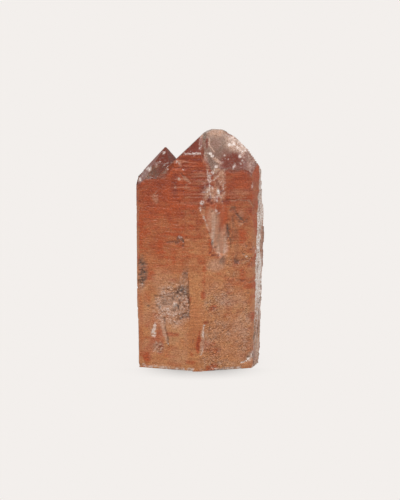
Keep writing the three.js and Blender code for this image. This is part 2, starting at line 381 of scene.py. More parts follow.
def veins(places, size, seed, width):
    """Thin winding lines, like the edges of healed cracks: 1 on a line and 0 off it."""
    return 1 - smooth(0.3 * width, width, np.abs(clouds(places, size, seed, 2) - 0.5))


def smooth(low, high, value):
    """0 at low, 1 at high, and a smooth run between them."""
    share = np.clip((value - low) / (high - low), 0, 1)
    return share * share * (3 - 2 * share)


def in_oval(x, z, middle, size, turn):
    """Places as shares of the half width and half height of a turned oval."""
    lean = math.radians(turn)
    dx, dz = x - middle[0], z - middle[1]
    along = dx * math.cos(lean) + dz * math.sin(lean)
    up = dz * math.cos(lean) - dx * math.sin(lean)
    return along / (size[0] / 2), up / (size[1] / 2)


def oval(x, z, middle, size, turn=0, rim=0.3):
    """1 inside an oval of that width and height, 0 outside, with a soft rim."""
    return 1 - smooth(1 - rim, 1 + rim, np.hypot(*in_oval(x, z, middle, size, turn)))


def from_stretch(x, z, start, end):
    """How far along a straight line each place is, 0 to 1, and how far from it."""
    dx, dz = end[0] - start[0], end[1] - start[1]
    share = np.clip(((x - start[0]) * dx + (z - start[1]) * dz) / (dx * dx + dz * dz), 0, 1)
    return share, np.hypot(x - start[0] - share * dx, z - start[1] - share * dz)


def from_line(x, z, points):
    """How far each place is from a broken line."""
    stretches = zip(points, points[1:])
    return np.min([from_stretch(x, z, *stretch)[1] for stretch in stretches], axis=0)


def line_share(x, z, points, width):
    """1 on a broken line and 0 at its soft sides; the line thins out towards its ends."""
    whole = sum(math.dist(a, b) for a, b in zip(points, points[1:]))
    best = np.zeros(len(x))
    passed = 0.0
    for start, end in zip(points, points[1:]):
        part = math.dist(start, end)
        share, away = from_stretch(x, z, start, end)
        along = (passed + share * part) / whole
        half = 0.5 * width * (0.35 + 0.65 * np.sqrt(np.clip(4 * along * (1 - along), 0, 1)))
        best = np.maximum(best, 1 - smooth(0.6, 1.4, away / half))
        passed += part
    return best


def warped(places, amount=1.0):
    """Places (x, z) moved about a little, so that marks have uneven edges."""
    moves = []
    for seed in (201, 205):
        coarse = noise(places, 1.7, seed) - 0.5
        fine = noise(places, 0.6, seed + 1) - 0.5
        moves.append(amount * (1.1 * coarse + 0.7 * fine))
    return places[:, 0] + moves[0], places[:, 2] + moves[1]


# The hollow, the chips and the patch, each a middle (x, z), a width and a height
DRUSE = ((-10.0, 25.2), (13.0, 15.0))
DRUSE_TOP = ((-6.2, 33.6), (4.6, 9.0))
LEFT_CHIP = ((-22.4, 35.8), (4.6, 11.6))
ROUGH_PATCH = ((-15.7, 8.3), (4.4, 4.6))
RIGHT_CHIPS = ((18.2, 4.2), (4.4, 3.2))
# Heights, and the left and right side of the scar at each
SCAR_LEFT = ([43.0, 44.8, 47.0, 51.0, 54.8, 58.0, 61.0], [6.6, 4.6, 4.0, 3.0, 1.9, 1.0, 0.2])
SCAR_RIGHT = ([43.0, 46.0, 50.0, 55.0, 60.0], [9.6, 10.0, 9.8, 9.5, 9.0])
# Heights, and how far right the stained front reaches at each
RIM = ([0, 3, 13, 25, 40, 54, 64, 68, 73], [19.2, 19.5, 19.8, 20.2, 20.5, 20.8, 21.1, 21.4, 21.6])
# The edge (x, z) under which the right of the front is a step deeper
GROWTH_STEP = [(9.6, 63.9), (14.0, 63.5), (17.7, 63.0), (20.0, 60.6), (20.8, 58.6)]

# Marks on the front and the tips, by colour. A blot is x and z, a width and a height, a
# strength and, if it leans, a turn. A line is its points (x, z), a width and a strength.
# Besides pale veils, scars and chips, the white marks hold painted glints, in the pit near
# (-7.5, 49) and at (-22.6, 70.7), and painted highlights along the scar's left edge and along
# the lower edge of the tall tip's front, about 80.5 high. Besides dark spots, the dark marks
# hold painted shade in that pit and a painted shadow beside the left step of the strip, from
# about 19 to 36 high.
BLOTS = {
    "white": [
        # The blot at (-22.6, 70.7) is a painted glint.
        (4.1, 74, 0.8, 1.2, 0.6, 20), (3.2, 72.5, 1.3, 1.3, 0.6), (-22.6, 70.7, 0.8, 0.8, 1),
        (-6.4, 74.9, 0.7, 0.7, 0.7), (-8, 77.2, 0.6, 1.2, 0.4), (-8, 71.4, 0.9, 0.9, 0.5),
        (-22, 31.8, 0.7, 0.7, 0.6), (-12, 9.9, 0.6, 0.7, 0.6), (1.1, 17.4, 0.8, 0.8, 1),
        (19.3, 4.8, 0.9, 2.4, 0.7, 15), (17.6, 3.2, 3.2, 0.7, 0.6, 12), (-21.3, 1, 1.4, 1.2, 0.5),
        (-3.8, 0.8, 1.6, 0.8, 0.3), (-17.2, 1.2, 0.8, 0.6, 0.3), (-11.9, 74.7, 0.7, 0.7, 0.6),
        (-17.6, 13.6, 1.7, 3.6, 0.66, 8), (-8.8, 77.6, 0.5, 0.7, 0.6), (0.4, 62.8, 1.3, 1.5, 0.9, -35),
        (0, 61, 0.5, 1.1, 0.8, 25), (6.2, 67, 0.8, 1.9, 1), (5.9, 65.4, 0.9, 2.3, 0.5),
        (5.7, 63.5, 0.8, 1.1, 0.5), (2.8, 68.9, 1.5, 0.6, 0.4), (1.2, 66.7, 2.2, 0.5, 0.35),
        (4.1, 68.2, 0.8, 1.5, 0.4), (5.4, 59.8, 0.8, 1.1, 0.5), (6.2, 58.8, 1.1, 0.5, 0.4, 20),
        (18.7, 68.6, 0.5, 2.3, 0.35), (20.3, 43.9, 0.6, 1.3, 0.9), (19.6, 45.4, 0.8, 0.6, 0.5),
        (16.8, 42.6, 0.9, 0.6, 0.6), (15.6, 43.4, 0.6, 0.5, 0.5), (17.9, 41.8, 0.8, 0.5, 0.5),
        (13.8, 39.7, 0.5, 0.5, 0.4), (4.1, 48.7, 0.5, 1.5, 0.7, -10), (1.2, 56.8, 0.4, 1.5, 0.6, 25),
    ],
    "pale": [
        (-8, 71.4, 1.1, 1.1, 1), (-5.3, 69.2, 1, 1, 0.5), (-9.3, 68.7, 0.8, 2.2, 0.5, 15),
        (7, 72.3, 3.6, 8, 0.55, 4), (-16.8, 64, 1.9, 3.6, 0.42, 20), (-11.4, 24.4, 6.4, 6.4, 0.9),
        (-13.6, 26.4, 3.6, 2.6, 0.5), (-7, 28.6, 4.4, 5.4, 0.45), (15.8, 17.2, 8, 9, 0.4, 20),
        (12.6, 26, 8, 5, 0.2), (-14, 33.6, 9, 8, 0.22), (-14.3, 21.8, 1.5, 2.6, 0.6),
        (-13.6, 18.2, 1.3, 2.4, 0.6), (-16, 25.6, 2, 3, 0.5), (7.6, 26.8, 5, 5, 0.35),
        (19, 4.6, 3.6, 4.6, 1, -30), (9, 2.6, 8, 1.2, 0.3), (-9.2, 17.8, 5.4, 2, 0.3),
        (3.9, 56.9, 3.8, 7.2, 0.62), (4.9, 51.2, 3, 6.1, 0.62), (7, 48.2, 4.1, 9.1, 0.62, -10),
        (7.5, 44.8, 3.4, 2.3, 0.62), (3.7, 66.6, 7.1, 4.2, 0.55), (6.3, 69.4, 3, 3.8, 0.6),
        (2.3, 64.5, 3.4, 1.9, 0.5), (5.6, 39.7, 6.4, 4.6, 0.6), (2.7, 38.7, 2.2, 2.3, 0.4),
        (7.5, 41.9, 4.1, 2.7, 0.5, 30), (14, 66.3, 8.2, 2.3, 0.2), (14.5, 58, 2.2, 3.4, 0.3),
        (14.5, 54.5, 1.3, 1.1, 0.5), (8.6, 51.9, 1.5, 6.1, 0.4, -8), (19.9, 45.8, 2.2, 3.8, 0.3),
    ],
    "wine": [
        (11.4, 74, 8.4, 1.3, 0.3), (-3.4, 73.9, 0.8, 0.7, 0.6), (-9.5, 67.1, 0.8, 0.7, 0.6),
        (-2.4, 78.4, 7, 0.9, 0.25), (-6.2, 77, 3, 0.8, 0.3), (-9.8, 68.6, 2.8, 9, 0.4),
        (-14, 69.6, 8, 2.6, 0.25, 8), (3.2, 64.8, 1.1, 1.3, 1), (2.8, 63.4, 1.3, 1.4, 1),
        (3.7, 62.4, 1.3, 1, 0.8), (8.3, 63.2, 2.6, 0.8, 0.9), (9.8, 63.1, 1.1, 0.6, 0.5),
        (0.1, 65, 2.2, 1.1, 0.4), (0.8, 67.6, 2.2, 1.9, 0.4), (3.1, 44.4, 0.9, 0.7, 0.9),
        (4.5, 43.5, 1.9, 0.8, 0.9), (6.1, 43.2, 1.5, 0.6, 0.7), (7.4, 66.5, 1.9, 1.5, 0.4),
        (1.2, 61.3, 1.5, 1.9, 0.4), (13.4, 58.4, 0.7, 0.7, 0.9), (1.6, 55.8, 0.4, 1.1, 0.4),
        (3.9, 46.8, 0.6, 2.3, 0.5), (13, 40.8, 2.2, 2.3, 0.5), (16, 41.5, 1.5, 1.1, 0.5),
        (19.4, 46, 1.5, 0.8, 0.4), (17.9, 39.1, 1.5, 0.8, 0.4), (20.7, 40.6, 0.8, 2.3, 0.4),
    ],
    "warm": [
        (-10, 66.5, 6.4, 8.4, 0.9), (-8.5, 73, 4.4, 6.4, 0.7), (-3, 76.2, 7, 1.3, 0.6),
        (-20, 57.4, 10, 1.3, 0.6), (-10, 51, 10, 0.9, 0.7), (-20, 51.4, 3.4, 2.6, 0.5),
        (-22.3, 52, 2.2, 14, 0.5), (-1.7, 19, 5, 20, 0.2), (1, 33.6, 1.1, 1.5, 0.7),
        (0.8, 28.6, 1.9, 3.4, 0.85), (-3.4, 6.3, 1.3, 1.7, 0.6), (-19, 7.4, 5, 3.8, 0.6, 20),
        (-11.2, 8.3, 4.6, 2.1, 0.4), (-20.5, 3.8, 2.8, 3.2, 0.5), (-22.4, 16, 1.8, 26, 0.45),
        (18, 31.4, 5.4, 2.6, 0.8), (14, 33, 9, 4, 0.45), (20.4, 72.8, 2.6, 5.8, 1),
        (1.9, 18.5, 1.8, 1.3, 0.75), (1.4, 8, 1.1, 1.3, 0.6), (9, 21, 1.1, 1.5, 0.5),
        (-9.6, 2.2, 6, 1.6, 0.35), (-13, 60, 9, 3, 0.4), (12, 73.6, 12, 2, 0.5), (-20, 27, 2.4, 5, 0.4),
        (8.3, 58.3, 2.6, 8.4, 0.85), (4.5, 62.1, 3.8, 3, 0.5), (1.2, 38.4, 1.9, 1.9, 0.7),
        (19, 40.2, 4.1, 3.4, 0.5), (19, 44.4, 4.5, 2.3, 0.5), (14.4, 69.2, 6, 3.4, 0.5),
        (3.3, 46.6, 1.5, 5, 0.6),
    ],
    "sand": [
        (-2, 31, 4.2, 12, 0.5), (4.6, 26.6, 7, 6.4, 0.35), (8, 2.2, 16, 3, 0.7),
        (-1.4, 5.4, 2.2, 1, 0.7, 20), (-14, 33, 9, 8, 0.4), (-10.6, 14.4, 5, 8, 0.4),
        (17.1, 50.8, 6, 6.1, 0.3), (15.9, 61.7, 6, 2.3, 0.3),
    ],
    "dark": [
        # The first three dark blots are painted shade in the pit; the blots between x -9 and -4 and
        # from 20 to 36 high are a painted shadow beside the strip's step.
        (-8.9, 48.5, 2.4, 1.3, 0.6, 10), (-6.7, 46.9, 0.8, 1.1, 0.8), (-8.6, 49.6, 0.9, 1.2, 0.8),
        (-19.5, 23.8, 1.3, 0.9, 0.7), (-16.8, 28, 1.3, 0.9, 0.5), (-14.8, 27.5, 2, 0.8, 0.6, -10),
        (-12.3, 27.6, 1.1, 0.6, 0.5), (-6, 35.4, 2.2, 5, 0.35, -8), (-4.9, 29.5, 1.5, 5, 0.6, 4),
        (-5.6, 20.9, 3, 2, 0.6, 15), (-7.6, 21, 1.8, 1, 0.5), (-8.9, 24.3, 1, 1.5, 0.7),
        (-6.8, 30.4, 4.2, 2.8, 0.45, -15), (-7.9, 26.4, 1.5, 1.1, 0.5), (-5.4, 31.2, 2.4, 1.8, 0.5),
        (14.6, 33.6, 3.4, 0.6, 0.45), (18.6, 32.8, 3.6, 0.6, 0.45), (17.8, 4.4, 1.4, 0.8, 0.7, 30),
        (-2.8, 11.3, 0.8, 1.5, 0.4), (2.4, 18.2, 0.7, 0.9, 0.5), (1.7, 8.1, 0.7, 0.6, 0.5),
        (17.4, 28.5, 0.9, 0.6, 0.5), (-22.6, 39.6, 2, 2.4, 0.4), (-21.6, 36.4, 1.6, 2, 0.5),
        (-21.9, 33.4, 1, 3, 0.5), (11.7, 60.6, 1.9, 1.8, 0.6, -20), (10.8, 59.8, 1.1, 1.1, 0.5),
        (12.6, 59.5, 0.9, 1.1, 0.6), (13.8, 57.4, 1, 1.1, 0.8, -40), (14.6, 56.3, 1, 0.9, 0.9, -40),
        (16.7, 56.1, 0.8, 0.8, 0.7), (9.8, 53.9, 0.8, 1.9, 0.9), (9.6, 52.9, 0.7, 1.5, 0.7),
        (9.9, 50.4, 0.8, 2.3, 0.7), (11.7, 55.9, 1, 5, 0.45), (13, 48, 1.9, 13.7, 0.22),
        (4.3, 48.1, 0.7, 1.9, 0.6), (5.4, 46.2, 1.1, 0.6, 0.6), (5.6, 57.8, 0.5, 1.9, 0.5),
        (5.5, 50.5, 0.6, 1.1, 0.4), (4.9, 49.7, 0.5, 1.5, 0.35), (7.9, 41.1, 2.8, 2.4, 0.6, 30),
        (8.4, 42.6, 1.5, 0.8, 0.5, 20), (3.1, 38.7, 1.1, 0.8, 0.5), (0.6, 62.2, 0.7, 0.8, 0.5),
        (18.5, 44.9, 1.1, 0.8, 0.5), (15.5, 43.6, 0.9, 0.7, 0.6), (13, 40.8, 1.5, 1.9, 0.6),
        (17.1, 46.4, 1.1, 0.6, 0.4), (15.1, 41.1, 0.8, 0.8, 0.5), (19.9, 46.9, 0.6, 0.8, 0.4),
    ],
}
LINES = {
    "white": [
        # The first line is a painted glint in the pit; the two lines about 80.5 high are the painted
        # highlight on the tall tip's lower edge.
        ([(-8.3, 50.2), (-6.9, 50.2)], 0.75, 1), ([(-9, 78.6), (-8, 77.4)], 0.4, 0.5),
        ([(-5.6, 80.6), (-2, 80.6), (0.6, 80.4)], 0.4, 0.6), ([(-1.2, 80.6), (0.5, 80.4)], 0.45, 0.8),
        ([(-17.1, 17.6), (-17.4, 14.4)], 0.8, 0.7),
        ([(1.1, 17.4), (0.9, 14.6), (0.7, 12.6)], 0.45, 0.6), ([(0.5, 9.4), (0.1, 6.6)], 0.5, 0.35),
        ([(15, 2.4), (17.2, 3.2), (19, 4.6), (20, 8.4)], 0.7, 0.9),
        # This line and the next hold painted highlights along the scar's left edge.
        ([(-0.5, 61), (0.2, 59.7)], 0.35, 0.8), ([(0.8, 58.1), (1.4, 56.9)], 0.35, 0.5),
        ([(2, 55), (2.5, 54.1)], 0.35, 0.5),
    ],
    "pale": [
        ([(-6.8, 72.9), (-3.6, 69.8)], 1.2, 0.6),
        ([(-14.9, 23.2), (-14.5, 18), (-13.4, 13), (-12.3, 9.9)], 1.3, 0.75),
        ([(1.2, 17), (0.5, 11), (-0.1, 6.2)], 1.5, 0.7), ([(-7.8, 78.6), (-7.4, 75.6)], 1, 0.4),
        ([(-0.5, 61), (1.2, 56.9), (2.1, 54.3), (3.9, 49.8), (4.5, 46.4), (3.8, 44.5)], 0.5, 0.7),
        ([(3.6, 58.4), (3.9, 55), (4.3, 52)], 0.6, 0.5),
        ([(6, 52), (7.5, 47.7), (8.8, 44.7)], 0.6, 0.6), ([(5.6, 62.1), (5.3, 59.5)], 0.4, 0.5),
        ([(10, 63.5), (14.4, 63.4), (17.4, 63.3), (19.9, 60.2)], 0.45, 0.6),
        ([(10.4, 64.5), (17, 64.4)], 0.35, 0.3), ([(-17.8, 64.8), (-15.9, 67.1)], 0.4, 0.5),
        ([(-17.2, 64), (-15.8, 65.5)], 0.4, 0.5),
    ],
    "dark": [
        # The first line is painted shade in the pit.
        ([(-7.8, 49.8), (-6.8, 49.4), (-6.3, 48.2)], 1.1, 1), ([(-9.8, 48.8), (-12.8, 47.8)], 0.6, 0.6),
        ([(-7.4, 73.9), (-5.8, 72.2)], 0.5, 0.6),
        ([(-13.4, 17.6), (-12.6, 13), (-11.8, 8.6)], 0.6, 0.6),
        # The line from (-4.7, 34) down to (-4.2, 19.4) is a painted shadow along the strip's step.
        ([(-18.2, 15.6), (-18.6, 12.6)], 0.5, 0.4), ([(-4.7, 34), (-4.5, 26), (-4.2, 19.4)], 0.6, 0.6),
        ([(-16.6, 24.6), (-15.6, 22.6), (-14.6, 24)], 0.5, 0.5),
        ([(-15.9, 27.8), (-13, 28.3), (-9.4, 29.2)], 0.5, 0.4),
        ([(-7.9, 19.2), (-6.2, 20.8), (-4.5, 21.7)], 0.9, 0.7),
        ([(-13.9, 19.5), (-12.9, 14.4), (-11.7, 10.3)], 0.6, 0.6),
        ([(13, 58.4), (14.5, 56.5), (15.6, 55.2)], 0.6, 0.8),
        ([(12, 59.6), (13.4, 57.6), (14.2, 56.6)], 0.5, 0.7), ([(14.2, 57.4), (15.4, 56.2)], 0.45, 0.7),
        ([(15.6, 55.2), (17.4, 55.5)], 0.4, 0.5), ([(12.6, 57.4), (14, 55.6), (15, 54.6)], 0.45, 0.55),
        ([(10.7, 55), (10.5, 52)], 0.45, 0.55), ([(9.2, 51.8), (9.8, 48.6)], 0.45, 0.5),
        ([(11.7, 53.6), (11.4, 50), (11.9, 47.4)], 0.5, 0.45),
        ([(9.8, 54.5), (9.7, 52.6), (10.2, 50.4)], 0.8, 0.9),
        ([(10.6, 49.6), (10.9, 48.1), (10.8, 45.7)], 0.6, 0.75),
        ([(11.1, 61.1), (12.3, 59.2)], 0.5, 0.6), ([(11.7, 58.1), (12.3, 52.9)], 0.5, 0.5),
        ([(12.3, 52.9), (12.5, 51)], 0.5, 0.4), ([(8.6, 42.6), (7.5, 41.1), (6.7, 40.4)], 0.6, 0.6),
    ],
    "wine": [
        ([(-0.3, 14.6), (-0.9, 12.4), (-1.2, 10), (-0.9, 7.8)], 0.8, 0.4),
        ([(2.4, 76.8), (1.9, 78.6), (0.8, 80)], 0.9, 0.4),
    ],
    "warm": [
        ([(-23, 57.6), (-14, 57.2)], 0.6, 0.5), ([(-14.6, 51.1), (-5, 51)], 0.6, 0.5),
        ([(-0.2, 15.4), (-1, 12), (-1.2, 7)], 1.3, 0.8), ([(1.4, 37.6), (0.9, 28)], 0.7, 0.35),
    ],
}
# More marks, on the tips alone. The white blots at (3.2, 80.2), (3.9, 79.5), (-18.9, 74.3)
# and (-22.7, 70.5) are painted glints, and the first white line is the painted highlight
# along the tall tip's lower edge.
TIP_BLOTS = {
    "white": [
        # The first two blots are painted glints.
        (3.2, 80.2, 1, 0.9, 1), (3.9, 79.5, 1.3, 0.8, 1), (10.6, 83.1, 2, 1.2, 0.9, -20),
        (11.9, 83.4, 1, 0.9, 0.7), (13, 82.5, 1.5, 0.8, 0.5), (14.2, 79.1, 1.1, 1.3, 0.8),
        (15.6, 80.7, 2, 0.7, 0.7, 25), (8.4, 79.5, 0.5, 0.9, 0.7), (7.8, 77, 0.8, 0.7, 0.6),
        (5.5, 76, 1, 1.2, 0.9, -20), (12.5, 76.2, 1.1, 0.5, 0.6, -40), (11.8, 75.2, 0.5, 0.7, 0.6),
        (15.2, 77.6, 0.7, 0.5, 0.7), (15.6, 76.9, 0.5, 0.5, 0.6), (0, 83, 0.9, 0.7, 0.6),
        (-0.6, 82.3, 0.6, 1, 0.6), (0.4, 81.5, 1, 0.7, 0.9), (1.3, 81.6, 0.5, 0.5, 0.6),
        # (-18.9, 74.3) on this line and (-22.7, 70.5) on the next are painted glints.
        (-13.4, 79.9, 1.1, 0.7, 0.9, 40), (-14, 80.1, 0.5, 0.4, 0.6), (-18.9, 74.3, 1.4, 1.1, 1),
        (-20, 74, 0.9, 0.5, 0.7), (-18.4, 74.9, 0.5, 0.7, 0.7), (-22.7, 70.5, 1.2, 1, 1),
        (-23.4, 70, 0.6, 0.7, 0.8), (-9.2, 77.5, 0.6, 1.1, 0.6), (-12.2, 76.6, 0.6, 0.5, 0.6),
        (-13.4, 76, 0.5, 0.5, 0.5), (-12.2, 75.3, 0.5, 0.5, 0.7), (-16.2, 76.2, 0.9, 1.2, 0.35),
        (-15.1, 76.9, 0.7, 0.7, 0.4), (-10.7, 76.5, 0.5, 0.5, 0.5), (-20.7, 72.8, 0.7, 0.5, 0.5),
        (-21.8, 71.7, 0.8, 0.6, 0.5), (19.3, 76.2, 0.5, 0.5, 0.5), (17.9, 76.6, 0.5, 0.5, 0.5),
    ],
    "pale": [
        (0.4, 84.2, 1.6, 6.2, 0.6, 4), (6, 77.7, 4.1, 1.3, 0.7, -35), (12.9, 82.1, 8.5, 3.6, 0.55, -20),
        (10.9, 85, 3.8, 2.9, 0.5, -30), (16.6, 81.9, 2, 2.6, 0.6, -40), (5.9, 87.3, 6.1, 2.9, 0.5),
        (14.9, 79.9, 2, 2, 0.5), (-16.4, 75.9, 2, 2, 0.4), (-20.7, 72.5, 3.1, 2.3, 0.4, 30),
        (17.6, 76.9, 4.1, 6.5, 0.15, -35), (1.2, 79, 2.4, 2, 0.35),
    ],
    "wine": [
        (11.2, 77.5, 8.9, 5.6, 0.75, -5), (8.9, 79.8, 3.8, 3.9, 0.5), (8.3, 75.7, 3.1, 2.6, 0.9),
        (14.9, 76.5, 3.1, 4.3, 0.6), (-3.1, 83.3, 6.8, 5.6, 1), (2.1, 84, 1.2, 3.6, 0.8),
        (5.2, 83.6, 3.8, 3.6, 0.22), (-13.5, 77.8, 5.8, 5.2, 1), (-10.5, 77.5, 3.1, 3.3, 0.9),
        (-17.5, 77.1, 3.4, 3.3, 1), (-14.8, 74.4, 4.4, 2.6, 0.6), (-12.9, 81.2, 2, 1.6, 0.7),
    ],
    "sand": [
        (5.9, 87.3, 6.5, 2.9, 0.4), (11, 85.6, 3.1, 2, 0.4),
    ],
    "dark": [
        (2.9, 78.5, 1, 0.5, 0.6), (10.2, 76.9, 0.7, 0.5, 0.5), (13.2, 77.4, 0.5, 1.3, 0.5),
        (-13.5, 77.5, 0.8, 0.5, 0.6), (-11.2, 78.4, 0.5, 0.7, 0.5), (-14.5, 76, 1, 0.4, 0.4),
        (-11.6, 75.7, 0.5, 0.7, 0.5), (-16.8, 74.7, 1.4, 0.5, 0.4), (14.2, 74.3, 1.4, 0.5, 0.4),
    ],
}
TIP_LINES = {
    "white": [
        # The first line is the painted highlight on the tall tip's lower edge.
        ([(-6.2, 80.5), (-3.1, 80.4), (1.5, 80.5)], 0.3, 0.5), ([(10.2, 79), (10, 77.8)], 0.35, 0.6),
        ([(12.7, 76.8), (11.7, 75.6), (11.7, 74.8)], 0.4, 0.8),
        ([(13.9, 77.1), (14.5, 76.4)], 0.35, 0.6),
    ],
    "pale": [
        ([(0.4, 86.9), (-0.4, 85.4), (-0.7, 83.6), (-0.6, 82.3), (0.3, 81.4), (1.4, 81.8)], 0.55, 0.9),
        ([(1.3, 86.3), (1.1, 84.1), (1.3, 82.1)], 0.45, 0.8),
        ([(3.1, 85.9), (3, 84.3), (2.9, 83.1), (3.9, 81.8), (5, 80.6)], 0.45, 0.8),
        ([(8.9, 86.6), (8.9, 84.8), (9.6, 83.7)], 0.4, 0.6),
        ([(13.9, 79.5), (15.6, 80.4), (17.4, 81)], 0.5, 0.9),
        ([(0.2, 80.5), (1.5, 79.5), (2.2, 77.8)], 0.5, 0.6),
    ],
    "dark": [
        ([(10.9, 79.2), (11.5, 77.5)], 0.4, 0.5), ([(-9, 76.9), (-8.5, 78.5)], 0.4, 0.5),
    ],
}
COLOURS = ["white", "pale", "wine", "warm", "sand", "dark"]
DRAWN_SEED = 151


def ledge_depth(places, across, rng, low, high, left, right, pitch, deep):
    """Ladder ledges, each deepest under its top edge and running out below."""
    z = places[:, 2]
    depth = np.zeros(len(z))
    at = low
    while at < high:
        width = (right - left) * rng.uniform(0.25, 1.1)
        middle = rng.uniform(left + 0.3 * width, right - 0.3 * width)
        run = rng.uniform(0.5, 1.0) * pitch * 0.8
        edge = at + (across - middle) * rng.uniform(-0.03, 0.03)
        below = (edge - z) / run
        inside = 1 - smooth(0.5 * width - 0.8, 0.5 * width, np.abs(across - middle))
        drop = np.where((below > 0) & (below < 1), 1 - below, 0)
        depth = np.maximum(depth, deep * rng.uniform(0.4, 1.0) * drop * inside)
        at += pitch * rng.uniform(0.5, 1.5)
    return depth


def crumbs(places, size, seed):
    """Small crystals side by side: 0 at the tip of each and 1 in the gaps between."""
    scaled = places / size
    cells = np.floor(scaled).astype(np.int64)
    nearest = np.full(len(places), 9.0)
    for step in itertools.product((-1, 0, 1), repeat=3):
        home = cells + np.array(step)
        seat = np.stack([lattice(home, seed + i) for i in range(3)], axis=1)
        nearest = np.minimum(nearest, np.linalg.norm(home + seat - scaled, axis=1))
    return np.clip(nearest / 0.9, 0, 1)


def drawn(mark, x, z, tip=False):
    """How strong the drawn marks of a colour are at each place, on the front or on a tip."""
    total = np.zeros(len(x))
    blots = BLOTS.get(mark, []) + (TIP_BLOTS.get(mark, []) if tip else [])
    lines = LINES.get(mark, []) + (TIP_LINES.get(mark, []) if tip else [])
    for px, pz, width, height, strength, *turn in blots:
        near = np.hypot(x - px, z - pz) < width + height
        lean = turn[0] if turn else 0
        share = oval(x[near], z[near], (px, pz), (width, height), lean, 0.45)
        total[near] = np.maximum(total[near], strength * share)
    for points, width, strength in lines:
        total = np.maximum(total, strength * line_share(x, z, points, width))
    return total


def crisp(strength, places, size, seed, fill=0.36):
    """A mark broken into uneven patches, fuller where it is stronger."""
    texture = clouds(places, size, seed, 2)
    return strength * smooth(0.26, 0.52, texture + fill * strength)


def crumpled(places, amount, seed):
    """Places moved about a little, so that crystals differ in size and shape."""
    moves = [noise(places, 1.9, seed + i) - 0.5 for i in range(3)]
    return places + amount * np.stack(moves, axis=1)


def druse_share(x, z, places):
    ragged = (clouds(places, 2.4, 31, 2) - 0.5) * 4.4
    hollow = oval(x + ragged, z + ragged, *DRUSE, turn=-20, rim=0.35)
    top = 0.5 * oval(x + ragged, z, *DRUSE_TOP, turn=-12, rim=0.5)
    return np.maximum(hollow, top) * (x < STRIP_LEFT + 0.02 * (STRIP_MIDDLE - z))


def druse_crumbs(places):
    """Crystals of the sugary hollow, coarse in its middle and fine around."""
    moved = crumpled(places, 1.6, 24)
    coarse = oval(places[:, 0], places[:, 2], (-11.4, 24.4), (7.0, 7.0), 0, 0.4)
    return coarse * crumbs(moved, 2.1, 23) + (1 - coarse) * crumbs(moved, 0.95, 26)


def scar_share(x, z):
    left = np.interp(z, *SCAR_LEFT)
    right = np.interp(z, *SCAR_RIGHT)
    inside = smooth(left - 0.3, left + 0.4, x) * (1 - smooth(right - 1.2, right + 0.4, x))
    return inside * smooth(42.8, 43.6, z) * (1 - smooth(57, 64, z))


def grain_share(x, z, places):
    """Where the lower right of the front is grainy."""
    ragged = (clouds(places, 4, 41) - 0.5) * 12
    zone = smooth(-0.5, 3.5, x + 0.5 * ragged) * (1 - smooth(24, 38, z + ragged))
    zone *= 1 - 0.7 * smooth(16.5, 19, x) * smooth(11, 14, z)
    crusty = 0.9 * oval(x + 0.4 * ragged, z + 0.4 * ragged, (15.4, 39), (11, 15), 0, 0.5)
    zone = np.maximum(zone, crusty)
    return zone * (0.25 + 0.75 * smooth(0.38, 0.62, clouds(places, 5, 43)))


# Ladders on the front: the part of it, from and up to which height, the left and right end,
# the height of a rung and its depth
LADDERS = [
    ("left", 36, 71, -23, -8, 1.3, 0.09), ("left", 2, 17, -23, -8, 2.0, 0.08),
    ("middle", 60, 80, -8, 4, 1.2, 0.15), ("middle", 2, 60, -8, 4, 1.5, 0.09),
    ("right", 64, 75, 7, 20, 1.3, 0.12), ("right", 31, 62, 5, 21, 1.8, 0.12),
]
# How deep the drawn marks of a colour are pitted
PITS = {"dark": 0.3, "wine": 0.12, "white": 0.14, "pale": 0.08}


def front_depth(places):
    x, z = places[:, 0], places[:, 2]
    wx, wz = warped(places)
    rng = np.random.default_rng(5)
    grain = grain_share(x, z, places)
    druse = druse_share(x, z, places)
    chip = oval(wx, wz, *LEFT_CHIP, turn=-6, rim=0.4)
    calm = (1 - 0.85 * grain) * (1 - druse) * (1 - chip)
    depth = 0.08 * calm * clouds(places, (3.2, 40, 0.5), 3, 2)
    depth += 0.16 * clouds(places, (6, 40, 6), 8) + 0.05 * clouds(places, 0.9, 10, 2)
    on_left = smooth(-7, -9, x + 0.1 * (z - 50))
    parts = {
        "left": on_left, "middle": (1 - on_left) * smooth(4.5, 2.5, x), "right": smooth(5, 8, x)}
    ledges = sum(parts[part] * ledge_depth(places, x, rng, *sizes) for part, *sizes in LADDERS)
    depth += calm * ledges
    depth += scar_share(wx, wz) * (0.10 + 0.6 * smooth(60.9, 43.4, z))
    step = from_line(x, z, GROWTH_STEP)
    under = z < np.interp(x, [p[0] for p in GROWTH_STEP], [p[1] for p in GROWTH_STEP])
    depth += np.where(under & (x > 9.4), 0.22 * np.clip(1 - step / 4.5, 0, 1), 0)
    depth += druse * (0.15 + 0.65 * druse_crumbs(places))
    depth += grain * (0.03 + 0.16 * crumbs(places, 1.0, 27) + 0.12 * noise(places, 2.5, 29))
    depth += chip * (0.3 + 0.5 * crumbs(places, 0.9, 33))
    depth += 0.8 * oval(x, z, (LEFT_SIDE, 0), (3.4, 2.8), rim=0.6)
    depth += oval(wx, wz, *ROUGH_PATCH, turn=-30) * 0.4 * crumbs(places, 0.9, 35)
    depth += oval(wx, wz, *RIGHT_CHIPS, turn=40) * 0.6 * crumbs(places, 1.6, 37)
    sx, sz = warped(places, 0.5)
    for mark, deep in PITS.items():
        depth += deep * drawn(mark, sx, sz)
    return depth


def slanted(places):
    """Places sheared to and fro, so that splinters lean different ways."""
    moved = places.copy()
    moved[:, :2] += 4.5 * (noise(places, 7, 57) - 0.5)[:, None]
    return moved


